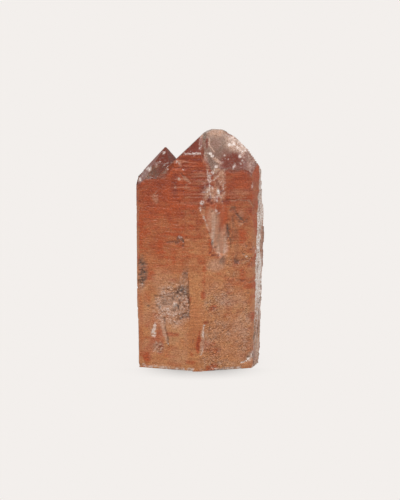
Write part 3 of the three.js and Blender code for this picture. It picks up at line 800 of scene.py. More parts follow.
def broken_share(name, places):
    """1 on the broken side and 0 on the stained front, with an uneven rim between them."""
    if name in ("rough_low", "rough_high", "rough_back"):
        return np.ones(len(places))
    uneven = 0.9 * (clouds(places, (2.4, 2.4, 2.0), 127, 2) - 0.5)
    return smooth(-0.08, 0.12, places[:, 0] + uneven - np.interp(places[:, 2], *RIM))


def broken_depth(places):
    """Splinters up and down the broken side."""
    leaning = slanted(places)
    wide = noise(leaning, (2.6, 2.6, 9), 51)
    thin = noise(leaning, (1.2, 1.2, 4), 53)
    fine = noise(places, (0.6, 0.6, 1.4), 55)
    slabs_out = smooth(12, 16, places[:, 1]) * (noise(leaning, (6, 6, 26), 58) * 2.6 % 1)
    return 0.5 * (wide * 3.1 % 1) + 0.28 * (thin * 2.3 % 1) + 0.12 * fine + 0.3 * slabs_out


def side_depth(name, places):
    """Ladders and a slow swell on the faces that the front does not show."""
    out = out_of(name)
    across = places[:, 0] if abs(out.y) >= abs(out.x) else places[:, 1]
    rng = np.random.default_rng(60 + NAMES.index(name))
    left, right = float(across.min()), float(across.max())
    depth = 0.08 * clouds(places, (9, 9, 0.6), 61, 2) + 0.14 * clouds(places, 9, 63)
    depth += ledge_depth(places, across, rng, 2, 72, left, right, 1.9, 0.2)
    depth += ledge_depth(places, across, rng, 2, 72, left, right, 6.0, 0.3)
    depth += 0.5 * smooth(1.6, 0, places[:, 2])
    if name in ("far_left", "left_corner"):
        depth += 0.4 * smooth(26, 12, places[:, 2])
    return depth


# How much the tall tip is cut back, on its right face and at the right end of its ridge
SIDE_CUT = 0.55
RIDGE_CUT = 0.6


def tip_depth(name, places):
    x, z = places[:, 0], places[:, 2]
    depth = 0.06 * clouds(places, 5, 71)
    if name in ("tip_frosted", "tip_shoulder"):
        depth += 0.06 * crumbs(places, 0.9, 73) * smooth(84, 79, z)
    if name == "small_tip_left":
        depth += 0.5 * smooth(75, 71, z)
    if name in ("tip_side", "tip_back_right"):
        inside = (np.array(FACES["tip_side"][2]) - places) @ np.array(out_of("tip_side"))
        depth += SIDE_CUT * smooth(1.2, 0, inside)
    depth += RIDGE_CUT * smooth(7.6, 9.4, x) * smooth(85.8, 87.6, z)
    if faces_front(name):
        wx, wz = warped(places, 0.4)
        depth += 0.04 * clouds(places, 1.6, 72, 2)
        depth += 0.12 * drawn("white", wx, wz, tip=True)
    return depth


def height_out(name, x, z):
    """The y of a flat face at a place seen from the front."""
    out = out_of(name)
    px, py, pz = FACES[name][2]
    return py - (out.x * (x - px) + out.z * (z - pz)) / out.y


# How far the left side of the strip goes to the right for each millimetre down
STEP_LEAN = 0.0437


def strip_proud(places):
    """How far the strip stands out of the fronts on its two sides."""
    x, z = places[:, 0], places[:, 2]
    step = STRIP_LEFT + STEP_LEAN * (STRIP_MIDDLE - z)
    right = np.clip((x - step) / (STRIP_RIGHT - step), 0, 1)
    on_left = height_out("left_front", step, z)
    on_right = height_out("right_front", STRIP_RIGHT, z)
    return (1 - right) * on_left + right * on_right - height_out("strip_face", x, z)


# Shell-shaped chips behind: the face, the middle (x, z), the size, the turn and the depth
BACK_SHELLS = [
    ("back", (10, 56), (13, 17), 18, 1.3), ("back", (2, 22), (9, 12), -24, 0.9),
    ("back_left", (-11.5, 44), (6.5, 11), 12, 0.8),
]


def shell_depth(places, middle, size, turn, deep):
    """A shallow bowl with ripples round its middle."""
    along, up = in_oval(places[:, 0], places[:, 2], middle, size, turn)
    bowl = np.sqrt(np.clip(1 - along**2 - up**2, 0, 1))
    ripples = 0.06 * np.sin(14 * np.hypot(along, up))
    return deep * bowl + np.where(bowl > 0, ripples, 0)


def face_depth(name, places):
    """How deep each place of a flat face is carved."""
    if name in FRONT:
        depth = front_depth(places)
        if name == "strip_face":
            depth += smooth(24, 6, places[:, 2]) * strip_proud(places)
        return depth
    if name in ROUGH:
        share = broken_share(name, places)
        return (1 - share) * front_depth(places) + share * (0.1 + broken_depth(places))
    if name == "base":
        return np.zeros(len(places))
    if on_tip(name):
        return tip_depth(name, places)
    if name.startswith("strip") or name in ("tall_inside", "small_inside"):
        return 0.04 * clouds(places, 3, 75)
    depth = side_depth(name, places)
    for owner, *shell in BACK_SHELLS:
        if owner == name:
            depth += shell_depth(places, *shell)
    return depth


# How far two flat faces turn at an edge that wears, and two carved ones at a sharp edge
WORN_TURN = math.radians(6)
SHARP_TURN = math.radians(28)


def creases(bm):
    """The edges between flat faces of the plain body, as pairs of points."""
    found = []
    for edge in bm.edges:
        if edge.calc_face_angle_signed(0) > WORN_TURN:
            found.append([tuple(v.co) for v in edge.verts])
    return np.array(found)


def from_creases(places, edges):
    """How far each place is from the nearest crease."""
    nearest = np.full(len(places), 1e9)
    for start, end in edges:
        run = end - start
        share = np.clip((places - start) @ run / (run @ run), 0, 1)
        away = np.linalg.norm(places - start - share[:, None] * run, axis=1)
        nearest = np.minimum(nearest, away)
    return nearest


def wear_depth(places, away):
    """Edges are a little blunt, with small chips."""
    blunt = 0.07 * np.exp(-((away / 0.25) ** 2))
    chips = smooth(0.62, 0.85, clouds(places, 1.6, 81, 2))
    high = 1 - 0.7 * smooth(72, 80, places[:, 2])
    return blunt + 0.5 * chips * high * np.exp(-((away / 0.7) ** 2))


def beside_low_strip(places):
    """The foot of the strip, where it lies flush between the fronts and its edges don't wear."""
    x, y, z = places.T
    beside = np.abs(x - 0.5 * (STRIP_LEFT + STRIP_RIGHT)) < 4.2
    return beside & (y < 3) & (z > 0.5) & (z < 25)


# How far the mean of the carving is moved out again
LEVEL = 0.14
# How firmly a point keeps its place where its faces leave it free to slide
HOLD = 0.02


def points_by_face(owner, corner):
    """The name of each flat face that the mesh has, and the numbers of its points."""
    for number, name in enumerate(NAMES):
        mine = np.unique(corner[owner == number])
        if len(mine):
            yield name, mine


def carve(mesh, edges):
    """Moves every point into the stone by the depth of each flat face that it is on."""
    count = len(mesh.vertices)
    places = np.empty(count * 3)
    mesh.vertices.foreach_get("co", places)
    places = places.reshape(-1, 3)
    numbers = np.empty(len(mesh.polygons), int)
    mesh.attributes["facet"].data.foreach_get("value", numbers)
    sizes = np.empty(len(mesh.polygons), int)
    mesh.polygons.foreach_get("loop_total", sizes)
    corner = np.empty(len(mesh.loops), int)
    mesh.loops.foreach_get("vertex_index", corner)
    wear = wear_depth(places, from_creases(places, edges))
    wear[beside_low_strip(places)] = 0
    pull = np.zeros((count, 3, 3))
    push = np.zeros((count, 3))
    owner = np.repeat(numbers, sizes)
    for name, mine in points_by_face(owner, corner):
        out = np.array(out_of(name))
        depth = face_depth(name, places[mine]) + wear[mine]
        if name != "base":
            depth -= LEVEL
        pull[mine] += np.outer(out, out)
        push[mine] -= depth[:, None] * out
    pull += HOLD * np.eye(3)
    moved = places + np.linalg.solve(pull, push[:, :, None])[:, :, 0]
    moved[:, 2] = np.maximum(moved[:, 2], 0)
    for name in ("strip_step", "strip_right"):
        mine = np.unique(corner[owner == NAMES.index(name)])
        front = height_out("strip_face", places[mine, 0], places[mine, 2])
        front += face_depth("strip_face", places[mine]) - LEVEL
        moved[mine, 1] = np.maximum(moved[mine, 1], front)
    mesh.vertices.foreach_set("co", moved.ravel())
    mesh.update()
    return places, owner, corner


# Where the red stain ends and the clear tips begin on the front, as x and the height at each
SMALL_CLEAR = ([-23.8, -22.8, -20.3, -17.5, -15.0, -12.5, -10.0, -8.6, -7.2],
               [69.8, 70.2, 71.2, 72.0, 71.8, 73.4, 75.8, 77.6, 79.6])
TALL_CLEAR = ([-7.2, -0.3, 1.2, 2.5, 4.0, 5.4, 7.4, 15.3, 18.6, 21.8],
              [80.3, 80.3, 79.0, 77.4, 74.0, 73.0, 75.0, 74.6, 72.7, 75.0])
# The same height on the sides and the back
SIDE_CLEAR = 71.0


def clear_share(name, places):
    """1 where the quartz is clear, 0 where it is stained."""
    if name in ROUGH:
        return np.zeros(len(places))
    x, y, z = places.T
    ragged = (clouds(places, (3, 3, 2.2), 91) - 0.5) * 3.2
    on_small = name in SMALL_CRYSTAL or name == "left_front"
    front_limit = np.interp(x, *(SMALL_CLEAR if on_small else TALL_CLEAR))
    share = smooth(6, 12, y)
    limit = front_limit * (1 - share) + (SIDE_CLEAR + 2 * ragged) * share
    return smooth(-1.6, 1.4, z - limit + 0.9 * ragged)


def stain_marks(places):
    """The slow change from red-brown at the top to tan at the foot, in patches, and a
    painted glow of light from the floor, low on the stone.
    """
    x, z = places[:, 0], places[:, 2]
    patchy = clouds(places, (6, 6, 5), 101)
    small = clouds(places, (2.2, 2.2, 1.6), 102)
    height = z + 0.16 * (x + 2) * smooth(50, 65, z)
    deep = np.interp(height, [0, 30, 42, 52, 62, 72], [0.14, 0.1, 0.32, 0.52, 0.84, 1.0])
    deep += 0.55 * (patchy - 0.5) + 0.5 * (small - 0.5)
    warm = 0.9 * smooth(0.56, 0.78, clouds(places, (5, 5, 3.4), 103))
    warm += 0.5 * smooth(0.58, 0.74, clouds(places, (3.4, 20, 0.55), 105, 2)) * smooth(26, 45, z)
    warm *= 1 - 0.8 * oval(x, z, (-4.6, 10.4), (7, 8), 0, 0.5) * (places[:, 1] < 8)
    sand = 0.7 * smooth(0.52, 0.72, clouds(places, 3.4, 107)) * smooth(62, 30, z)
    # Painted light from the floor: a wide round patch low on the stone is painted less deep and
    # sandier.
    light = oval(x, z, (-5, 11), (30, 30), 0, 0.6)
    return {"deep": deep - 0.25 * light, "warm": warm, "sand": sand + 0.15 * light}


def add_drawn(marks, places):
    x, z = warped(places, 0.5)
    for number, mark in enumerate(COLOURS):
        patches = crisp(drawn(mark, x, z), places, 0.7, DRAWN_SEED + 3 * number)
        marks[mark] = marks.get(mark, 0) + patches


def add_rungs(marks, x, z, places):
    """Thin pale, red and brown lines across the top of the front, and its slow changes."""
    rungs = 0.7 * noise(places, (9, 40, 0.6), 171) + 0.3 * noise(places, (2.4, 40, 0.4), 172)
    high = smooth(56, 70, z) * smooth(5, 3.4, x) * smooth(-12, -7, x) + 0.12 * smooth(48, 70, z)
    marks["pale"] += 0.36 * high * smooth(0.50, 0.72, rungs)
    marks["wine"] += 0.5 * high * smooth(0.46, 0.30, rungs)
    marks["warm"] += 0.5 * high * smooth(0.50, 0.36, rungs)
    marks["wine"] += 0.16 * smooth(58, 68, z) * smooth(6, 2, x)
    marks["deep"] += 0.12 * smooth(52, 58, z) * smooth(-6, -9, x)
    marks["warm"] += 0.3 * smooth(-5.5, -7.5, x) * smooth(32, 42, z)


def add_scar(marks, z, places, scar):
    streaks = noise(places, (1.1, 1.1, 7), 111)
    threads = noise(places, (0.7, 0.7, 3.5), 112)
    marks["pale"] += scar * (0.1 + 0.5 * smooth(0.42, 0.62, streaks))
    marks["warm"] += scar * 0.4 * smooth(0.45, 0.3, streaks)
    marks["white"] += 0.15 * scar * smooth(0.5, 0.75, streaks) * smooth(60, 52, z)
    marks["dark"] += 0.3 * scar * smooth(0.62, 0.80, threads)
    marks["wine"] += 0.2 * scar * smooth(0.36, 0.22, threads)


def add_druse(marks, x, z, places, druse, crumb):
    """Pale crystals with dark gaps between them, in the sugary hollow, under a painted shadow
    that deepens towards the strip's step.
    """
    middle = oval(x, z, (-11.4, 24.6), (6.4, 6.0), -20, 0.5)
    # Painted shadow of the strip's step: the dark grows towards the strip on the right.
    beside = 0.45 + 0.55 * smooth(-11, -7, x)
    marks["pale"] += druse * (0.7 * smooth(0.9, 0.45, crumb) + 0.4 * middle)
    marks["white"] += druse * (0.25 + 0.2 * middle) * smooth(0.6, 0.3, crumb)
    marks["dark"] += 0.85 * druse * beside * smooth(0.66, 0.88, crumb)
    marks["dark"] += 0.5 * druse * beside * smooth(0.56, 0.68, clouds(places, 2.0, 114, 2))


def add_grain(marks, places, grain, specks):
    gaps = smooth(0.5, 0.85, crumbs(places, 1.0, 27))
    marks["pale"] += 0.45 * grain * smooth(0.45, 0.7, clouds(places, 1.8, 113))
    marks["pale"] += 0.5 * grain * smooth(0.66, 0.82, noise(places, 0.8, 116))
    marks["dark"] += 0.25 * grain * gaps * (0.4 + 0.6 * specks)


def add_foot(marks, x, z, places):
    """Salmon clouds low on both sides of the strip, and a pale line along the cut base."""
    beside_strip = 1 - smooth(-5.6, -4.4, x) * smooth(1.6, 0.4, x)
    salmon = beside_strip * smooth(36, 26, z) * smooth(0.36, 0.62, clouds(places, 4.5, 175))
    foot = smooth(1.5, 0.5, z) * smooth(0.40, 0.60, noise(places, 1.8, 118))
    marks["pale"] += 0.22 * salmon + 0.9 * foot
    marks["white"] += 0.5 * foot * smooth(0.5, 0.65, noise(places, 0.8, 120))


def add_patch(marks, patch, crumb):
    """The rough patch at the lower left."""
    marks["pale"] += 0.9 * patch * smooth(0.8, 0.4, crumb)
    marks["white"] += 0.2 * patch * smooth(0.6, 0.3, crumb)
    marks["sand"] += 0.5 * patch
    marks["dark"] += 0.6 * patch * smooth(0.5, 0.85, crumb)


def add_veil(marks, x, z, places):
    """The whitish veil between the scar and the tall tip."""
    veil = smooth(61, 66, z) * smooth(80, 76, z) * smooth(4.4, 2.6, np.abs(x - 5.0))
    marks["pale"] += 0.7 * veil * smooth(0.44, 0.62, clouds(places, (1.2, 1.2, 2.8), 115))
    marks["white"] += 0.4 * veil * veins(places, (1.4, 1.4, 3.0), 117, 0.05)
    marks["wine"] += 0.5 * veil * smooth(0.58, 0.70, clouds(places, 1.4, 119, 2))


def edge_highlight(x, z):
    """1 along the painted highlight on the edge where the rungs of the front end under the tall tip."""
    return smooth(0.4, 0.15, np.abs(z - 80.5)) * smooth(-6.4, -5.6, x) * smooth(3.0, 2.2, x)


def front_marks(places):
    """How strong each mark is on the front and the front of the tips, by name."""
    x, z = places[:, 0], places[:, 2]
    wx, wz = warped(places)
    grain = grain_share(x, z, places)
    druse = druse_share(x, z, places)
    crumb = druse_crumbs(places)
    scar = scar_share(wx, wz)
    chip = oval(wx, wz, *LEFT_CHIP, turn=-6, rim=0.4)
    specks = noise(places, (0.7, 0.7, 0.6), 109)
    marks = stain_marks(places)
    add_drawn(marks, places)
    add_rungs(marks, x, z, places)
    add_scar(marks, z, places, scar)
    add_druse(marks, x, z, places, druse, crumb)
    add_grain(marks, places, grain, specks)
    add_foot(marks, x, z, places)
    add_patch(marks, oval(wx, wz, *ROUGH_PATCH, turn=-30, rim=0.5), crumb)
    add_veil(marks, wx, wz, places)
    marks["pale"] += 0.4 * chip
    marks["dark"] += chip * (0.25 + 0.6 * smooth(0.35, 0.75, crumbs(places, 0.9, 33)))
    marks["dark"] += 0.4 * smooth(0.80, 0.95, specks) * smooth(70, 60, z)
    # A painted highlight along the tall tip's lower edge.
    marks["white"] += 0.5 * edge_highlight(x, z)
    marks["grain"] = 0.35 * (1 - scar) + 0.65 * np.maximum(grain, 0.5 * druse)
    return marks


def add_small_tip(marks, name, z, places):
    """Veins, sand and dark spots under the faces of the small tip."""
    marks["pale"] = 0.6 * marks["pale"] + 0.4 * veins(places, (1.5, 1.5, 2.2), 149, 0.03)
    marks["dark"] += 0.5 * veins(places, (2.2, 2.2, 1.4), 150, 0.04)
    marks["dark"] += 0.2 + 0.3 * smooth(77, 73, z)
    marks["sand"] += 0.3 * smooth(0.45, 0.7, clouds(places, 1.6, 148))
    if name == "small_tip_left":
        marks["wine"] = np.maximum(marks["wine"], 0.95)
        marks["dark"] = 0.3 * marks["dark"]
        marks["frost"] = 1.0
    marks["dark"] += 0.3 * smooth(0.64, 0.78, noise(places, 1.0, 147))


def add_frosted(marks, x, z, specks):
    """The frosted right part of the tall tip's front."""
    right = smooth(8, 11, x)
    upper = smooth(79.5, 81.5, z) * smooth(87.5, 85.5, z)
    marks["pale"] += right * (0.1 + 0.3 * smooth(0.5, 0.7, specks))
    # The white specks here are painted glints.
    marks["white"] += right * (0.28 * upper + 0.25 * smooth(0.6, 0.8, specks))
    marks["wine"] += right * (0.45 - 0.4 * upper + 0.5 * smooth(0.42, 0.28, specks))
    marks["dark"] += 0.3 * right * smooth(0.30, 0.18, specks)
    marks["grain"] = 0.2 + 0.6 * right
    marks["frost"] = 0.7 * right


def tip_marks(name, places):
    """Veils, specks, painted glints and stain inside the clear tips."""
    x, z = places[:, 0], places[:, 2]
    wx, wz = warped(places, 0.4)
    small = name in SMALL_CRYSTAL
    marks = dict.fromkeys(COLOURS, 0)
    if faces_front(name):
        for number, mark in enumerate(COLOURS):
            fill = 0.8 if mark == "wine" else 0.15
            share = drawn(mark, wx, wz, tip=True)
            marks[mark] = crisp(share, places, 0.6, DRAWN_SEED + 3 * number, fill)
        marks["white"] = np.maximum(marks["white"], 0.3 * marks["pale"])
        # A painted highlight along the tall tip's lower edge.
        marks["white"] = np.maximum(marks["white"], 0.5 * edge_highlight(x, z))
    specks = noise(places, 0.55, 141)
    cloudy = clouds(places, 3, 145)
    marks["wine"] = 1.3 * marks["wine"] + (0.7 if small else 0.2) * smooth(0.4, 0.65, cloudy)
    marks["pale"] += 0.15 * veins(places, 2.6, 143, 0.03)
    # White specks: painted glints.
    marks["white"] += (0.1 if small else 0.4) * smooth(0.88, 0.96, specks)
    marks["white"] = 0.85 * marks["white"]
    marks["dark"] += 0.2 * smooth(0.18, 0.08, specks)
    marks["deep"] = 0.9
    marks["grain"] = 0.4
    left = smooth(1.8, 0.0, x) * smooth(87.0, 85.5, z)
    marks["ruddy"] = 1.0 if small else np.maximum(0.5 * smooth(86.5, 79, z), left)
    if small:
        add_small_tip(marks, name, z, places)
    if name in ("tip_frosted", "tip_shoulder"):
        add_frosted(marks, x, z, specks)
    if name in ("strip_wall", "strip_tip"):
        marks["wine"] += 0.4
    return marks


def side_marks(places):
    """Marks on the faces that the photo does not show."""
    marks = stain_marks(places)
    marks["warm"] += 0.5 * smooth(0.55, 0.75, clouds(places, (6, 6, 3), 133))
    marks["pale"] = 0.6 * smooth(0.56, 0.78, clouds(places, (4, 4, 6), 135))
    marks["dark"] = 0.7 * smooth(0.68, 0.86, clouds(places, 2.2, 137))
    marks["white"] = 0.7 * smooth(0.80, 0.92, clouds(places, 1.4, 139))
    marks["grain"] = 0.35 + 0.5 * smooth(0.5, 0.7, clouds(places, 9, 138))
    return marks


def broken_marks(places):
    """Whitish splinters with brown gaps between them; browner towards the foot."""
    z = places[:, 2]
    low = smooth(34, 12, z)
    leaning = slanted(places)
    streak = 0.5 * noise(leaning, (0.8, 0.8, 6.5), 121) + 0.3 * noise(leaning, (0.55, 0.55, 2.2), 122)
    streak += 0.2 * noise(leaning, (2.4, 2.4, 12), 123)
    patch = clouds(places, (3, 3, 5), 124)
    stained = smooth(0.40, 0.62, clouds(places, (6, 6, 15), 129, 3)) * smooth(11, 15, places[:, 1])
    high = smooth(52, 62, z)
    threads = noise(leaning, (0.7, 0.7, 14), 130)
    white = (1 - 0.75 * low - 0.35 * high) * (1 - 0.8 * stained)
    dark = 0.95 * smooth(0.46, 0.36, streak) * (0.5 + 0.8 * smooth(0.45, 0.65, patch))
    warm = smooth(0.40, 0.60, noise(leaning, (1.1, 1.1, 5), 126))
    return {
        "deep": 0.5 * stained,
        "pale": (1 - 0.6 * low) * (1 - 0.7 * stained),
        "white": white * (0.15 + smooth(0.38, 0.48, streak)) + 0.25 * low * smooth(0.62, 0.74, threads),
        "dark": dark + 0.2 * high + 0.45 * low * smooth(0.38, 0.26, threads),
        "wine": (0.2 + 0.2 * low) * smooth(0.45, 0.65, noise(leaning, (0.9, 0.9, 6), 125)),
        "sand": 0.3 + 0.7 * low,
        "warm": np.maximum(0.8 * low, 0.6 * stained) * warm,
        "grain": np.full(len(z), 0.35),
    }


def rough_marks(name, places):
    """The marks of the broken side, and of the front where it reaches round to it."""
    share = broken_share(name, places)
    marks = broken_marks(places)
    front = front_marks(places)
    # Painted light: where the front reaches round onto these turned faces, its stain is painted less
    # deep, sandier and warmer, in place of the lamp light that they turn away from.
    front["sand"] += 0.1
    front["deep"] -= 0.25
    front["warm"] += 0.15
    for mark in ("pale", "dark", "grain"):
        front[mark] *= 0.5
    for mark in front:
        marks[mark] = share * marks.get(mark, 0) + (1 - share) * np.clip(front[mark], 0, 1)
    # White along the rim between the stained front and the broken side: chips, and a painted highlight
    # on the edge, stronger towards the foot.
    border = np.clip(4 * share * (1 - share), 0, 1)
    chipped_and_lit_rim = noise(places, (2, 2, 1.8), 128) + 0.2 * smooth(50, 30, places[:, 2])
    marks["white"] += border * smooth(0.5, 0.6, chipped_and_lit_rim)
    return marks


# How much of the see-through share each mark takes away
HAZE = {"white": 1.0, "pale": 0.8, "dark": 0.6, "wine": 0.85}
# How see-through the small crystal is beside the tall one
SMALL_GLASS = 0.6
MARKS = COLOURS + ["clear", "glass", "deep", "grain", "frost", "ruddy"]


def face_marks(name, places):
    """How strong each mark is on a flat face, by name."""
    if name in FRONT or name in ("strip_step", "strip_right"):
        marks = front_marks(places)
    elif name in ROUGH:
        marks = rough_marks(name, places)
    elif on_tip(name):
        marks = tip_marks(name, places)
    else:
        marks = side_marks(places)
    marks = {mark: np.clip(share, 0, 1) + np.zeros(len(places)) for mark, share in marks.items()}
    clear = clear_share(name, places)
    marks["clear"] = clear
    edge = np.exp(-((clear - 0.45) / 0.25) ** 2)
    marks["wine"] = np.maximum(marks.get("wine", 0), 0.7 * edge)
    veiled = sum(share * marks.get(mark, 0) for mark, share in HAZE.items())
    marks["glass"] = clear * (1 - np.clip(veiled, 0, 1))
    if name in SMALL_CRYSTAL:
        marks["glass"] *= SMALL_GLASS
    return marks


def paint(mesh, places, owner, corner):
    """Stores the marks on the mesh for its material."""
    totals = {mark: np.zeros(len(places)) for mark in MARKS}
    visits = np.zeros(len(places))
    for name, mine in points_by_face(owner, corner):
        visits[mine] += 1
        for mark, strength in face_marks(name, places[mine]).items():
            totals[mark][mine] += strength
    for mark, total in totals.items():
        layer = mesh.attributes.new(mark, "FLOAT", "POINT")
        layer.data.foreach_set("value", (total / np.maximum(visits, 1)).astype(np.float32))


class Board:
    """The nodes of a material or world, added by kind, with values and links by input."""

    def __init__(self, tree):
        self.tree = tree
        tree.nodes.clear()

    def feed(self, socket, value):
        """Links a socket to another one, or gives it a plain value."""
        if isinstance(value, bpy.types.NodeSocket):
            self.tree.links.new(value, socket)
        else:
            socket.default_value = value

    def add(self, kind, inputs=None, **settings):
        node = self.tree.nodes.new("ShaderNode" + kind)
        for name, value in settings.items():
            setattr(node, name, value)
        for name, value in (inputs or {}).items():
            self.feed(node.inputs[name], value)
        return node

    def mark(self, name):
        return self.add("Attribute", attribute_name=name).outputs["Fac"]

    def mix(self, share, first, second):
        """A colour between two others."""
        node = self.add("Mix", {0: share, 6: first, 7: second}, data_type="RGBA", clamp_factor=True)
        return node.outputs[2]

    def between(self, share, first, second):
        """A number between two others."""
        return self.add("Mix", {0: share, 2: first, 3: second}).outputs[0]

    def times(self, first, second):
        return self.add("VectorMath", {0: first, 1: second}, operation="MULTIPLY").outputs[0]

    def math(self, operation, first, second=0.0, clamp=False):
        node = self.add("Math", {0: first, 1: second}, operation=operation, use_clamp=clamp)
        return node.outputs[0]

    def product(self, first, second):
        return self.math("MULTIPLY", first, second)

    def total(self, first, second, clamp=False):
        return self.math("ADD", first, second, clamp)

    def noise(self, scales, detail=2.0, rough=0.5):
        """Noise over the stone, with that many lumps to a millimetre along each axis."""
        coordinates = self.add("TexCoord").outputs["Object"]
        mapped = self.add("Mapping", {"Vector": coordinates, "Scale": [s / MM for s in scales]})
        texture = self.add("TexNoise", {
            "Vector": mapped.outputs[0], "Scale": 1.0, "Detail": detail, "Roughness": rough})
        return texture.outputs["Fac"]

    def crystals(self, scale):
        """Small crystals side by side, that many to a millimetre: 0 in each and 1 between."""
        coordinates = self.add("TexCoord").outputs["Object"]
        texture = self.add("TexVoronoi", {"Vector": coordinates, "Scale": scale / MM})
        return texture.outputs["Distance"]

    def spread(self, value, low, high, start=0.0, end=1.0):
        node = self.add("MapRange", {
            "Value": value, "From Min": low, "From Max": high, "To Min": start, "To Max": end})
        return node.outputs[0]


def colour(red, green, blue):
    return (red, green, blue, 1.0)


TAN = colour(0.555, 0.210, 0.074)
DEEP = colour(0.31, 0.046, 0.007)
WARM = colour(0.44, 0.070, 0.010)
SAND = colour(0.56, 0.250, 0.090)
WINE = colour(0.160, 0.017, 0.006)
UMBER = colour(0.17, 0.055, 0.028)
PALE = colour(0.58, 0.318, 0.200)
WHITE = colour(0.86, 0.76, 0.68)
DARK = colour(0.085, 0.048, 0.032)
CLEAR = colour(0.60, 0.42, 0.32)
RUDDY = colour(0.23, 0.070, 0.034)
QUARTZ_IOR = 1.544
# The tint that clear quartz leaves in the light, and how strongly it does so to a metre
DEPTH_TINT = colour(0.80, 0.50, 0.42)
DEPTH_DENSITY = 70.0
# What the fine grain and striae multiply the colour by, where it is dim and where it is lit:
# partly the stone's own speckled tone, partly painted shade and painted highlight on its fine relief
DIM = colour(0.70, 0.60, 0.50)
LIT = colour(1.30, 1.42, 1.58)


def quartz_material():
    """Stained quartz that turns clear at the tips."""
    material = bpy.data.materials.new("lemurian_quartz")
    material.use_nodes = True
    board = Board(material.node_tree)
    striae = board.noise((0.3, 0.3, 2.4), 3, 0.6)
    fine = board.noise((1.5, 1.5, 1.5), 3, 0.65)
    finest = board.noise((2.4, 2.4, 2.4), 1, 0.5)
    mottle = board.noise((0.3, 0.3, 0.42), 2, 0.6)
    deep = board.total(board.mark("deep"), board.spread(striae, 0.3, 0.7, -0.04, 0.04))
    deep = board.total(deep, board.spread(mottle, 0.3, 0.7, -0.28, 0.28), clamp=True)
    tint = board.mix(deep, TAN, DEEP)
    inside = board.mix(board.mark("ruddy"), CLEAR, RUDDY)
    tint = board.mix(board.mark("clear"), tint, inside)
    # Each mark with its colour, the texture that thins it out, that one's range and the least
    # share that stays
    layers = [
        ("sand", SAND, mottle, 0.35, 0.6, 0.4), ("warm", WARM, fine, 0.3, 0.6, 0.92),
        ("pale", PALE, fine, 0.3, 0.6, 0.8), ("wine", WINE, fine, 0.35, 0.6, 0.75),
        ("dark", DARK, fine, 0.35, 0.55, 0.4), ("white", WHITE, fine, 0.38, 0.52, 0.15),
    ]
    for mark, shade, texture, low, high, least in layers:
        share = board.product(board.mark(mark), board.spread(texture, low, high, least, 1.0))
        tint = board.mix(share, tint, shade)
    gaps = board.spread(board.crystals(1.15), 0.35, 0.75)
    crust = board.product(board.mark("grain"), gaps)
    tint = board.mix(board.product(crust, 0.28), tint, UMBER)
    # Painted shade and highlight on the fine relief and striae, over the stone's speckled tone.
    grit_light_and_shade = board.total(fine, board.product(finest, 1.3))
    grit_light_and_shade = board.math("SUBTRACT", grit_light_and_shade, 1.15)
    grit_light_and_shade = board.product(grit_light_and_shade, board.spread(board.mark("grain"), 0.0, 1.0, 0.5, 2.0))
    lines = board.spread(striae, 0.0, 1.0, 0.12, 0.88)
    lines = board.between(board.mark("clear"), lines, 0.5)
    tint = board.times(tint, board.mix(board.total(grit_light_and_shade, lines), DIM, LIT))
    glass = board.product(board.mark("glass"), board.spread(fine, 0.3, 0.6, 1.0, 0.9))
    rough = board.spread(fine, 0.3, 0.7, 0.34, 0.5)
    rough_clear = board.product(board.mark("frost"), 0.3)
    rough_clear = board.total(rough_clear, board.spread(mottle, 0.35, 0.65, 0.04, 0.14))
    rough = board.between(board.mark("clear"), rough, rough_clear)
    relief = board.product(striae, 0.5)
    rise = board.total(fine, board.product(finest, 0.8))
    rise = board.product(rise, board.total(board.mark("grain"), 0.15))
    relief = board.total(relief, rise)
    relief = board.math("SUBTRACT", relief, board.product(crust, 0.5))
    relief = board.product(relief, board.spread(board.mark("clear"), 0.0, 1.0, 1.0, 0.2))
    bump = board.add("Bump", {"Height": relief, "Strength": 1.0, "Distance": 0.3 * MM})
    shader = board.add("BsdfPrincipled", {
        "Base Color": tint, "Roughness": rough, "IOR": QUARTZ_IOR,
        "Transmission Weight": board.spread(glass, 0.0, 1.0, 0.05, 0.6),
        "Normal": bump.outputs[0]})
    depth = board.add("VolumeAbsorption", {"Color": DEPTH_TINT, "Density": DEPTH_DENSITY})
    board.add("OutputMaterial", {"Surface": shader.outputs[0], "Volume": depth.outputs[0]})
    return material


def finish_mesh(mesh):
    """Shades the carved faces smooth and keeps their creases sharp."""
    mesh.polygons.foreach_set("use_smooth", [True] * len(mesh.polygons))
    mesh.set_sharp_from_angle(angle=SHARP_TURN)


def to_frame(mesh):
    """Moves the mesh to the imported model's middle, and from millimetres to metres."""
    low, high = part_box("crystal")
    middle = (low + high) / 2
    carved = np.array([v.co for v in mesh.vertices])
    own = (carved.min(0) + carved.max(0)) / 2
    carved[:, :2] -= own[:2]
    carved *= MM
    carved[:, 0] += middle.x
    carved[:, 1] += middle.y
    mesh.vertices.foreach_set("co", carved.ravel())


def build_stone():
    bm = tower_body()
    edges = creases(bm)
    made = gridded(bm)
    bm.free()
    stone = object_of(made, "lemurian_crystal")
    places, owner, corner = carve(stone.data, edges)
    paint(stone.data, places, owner, corner)
    to_frame(stone.data)
    finish_mesh(stone.data)
    stone.data.materials.append(quartz_material())
    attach(stone, "root")
    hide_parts("crystal")


# The studio: pale paper, and how far a soft shadow reaches from the foot of the stone
PAPER = colour(0.896, 0.863, 0.839)
SHADOW_REACH = 14 * MM


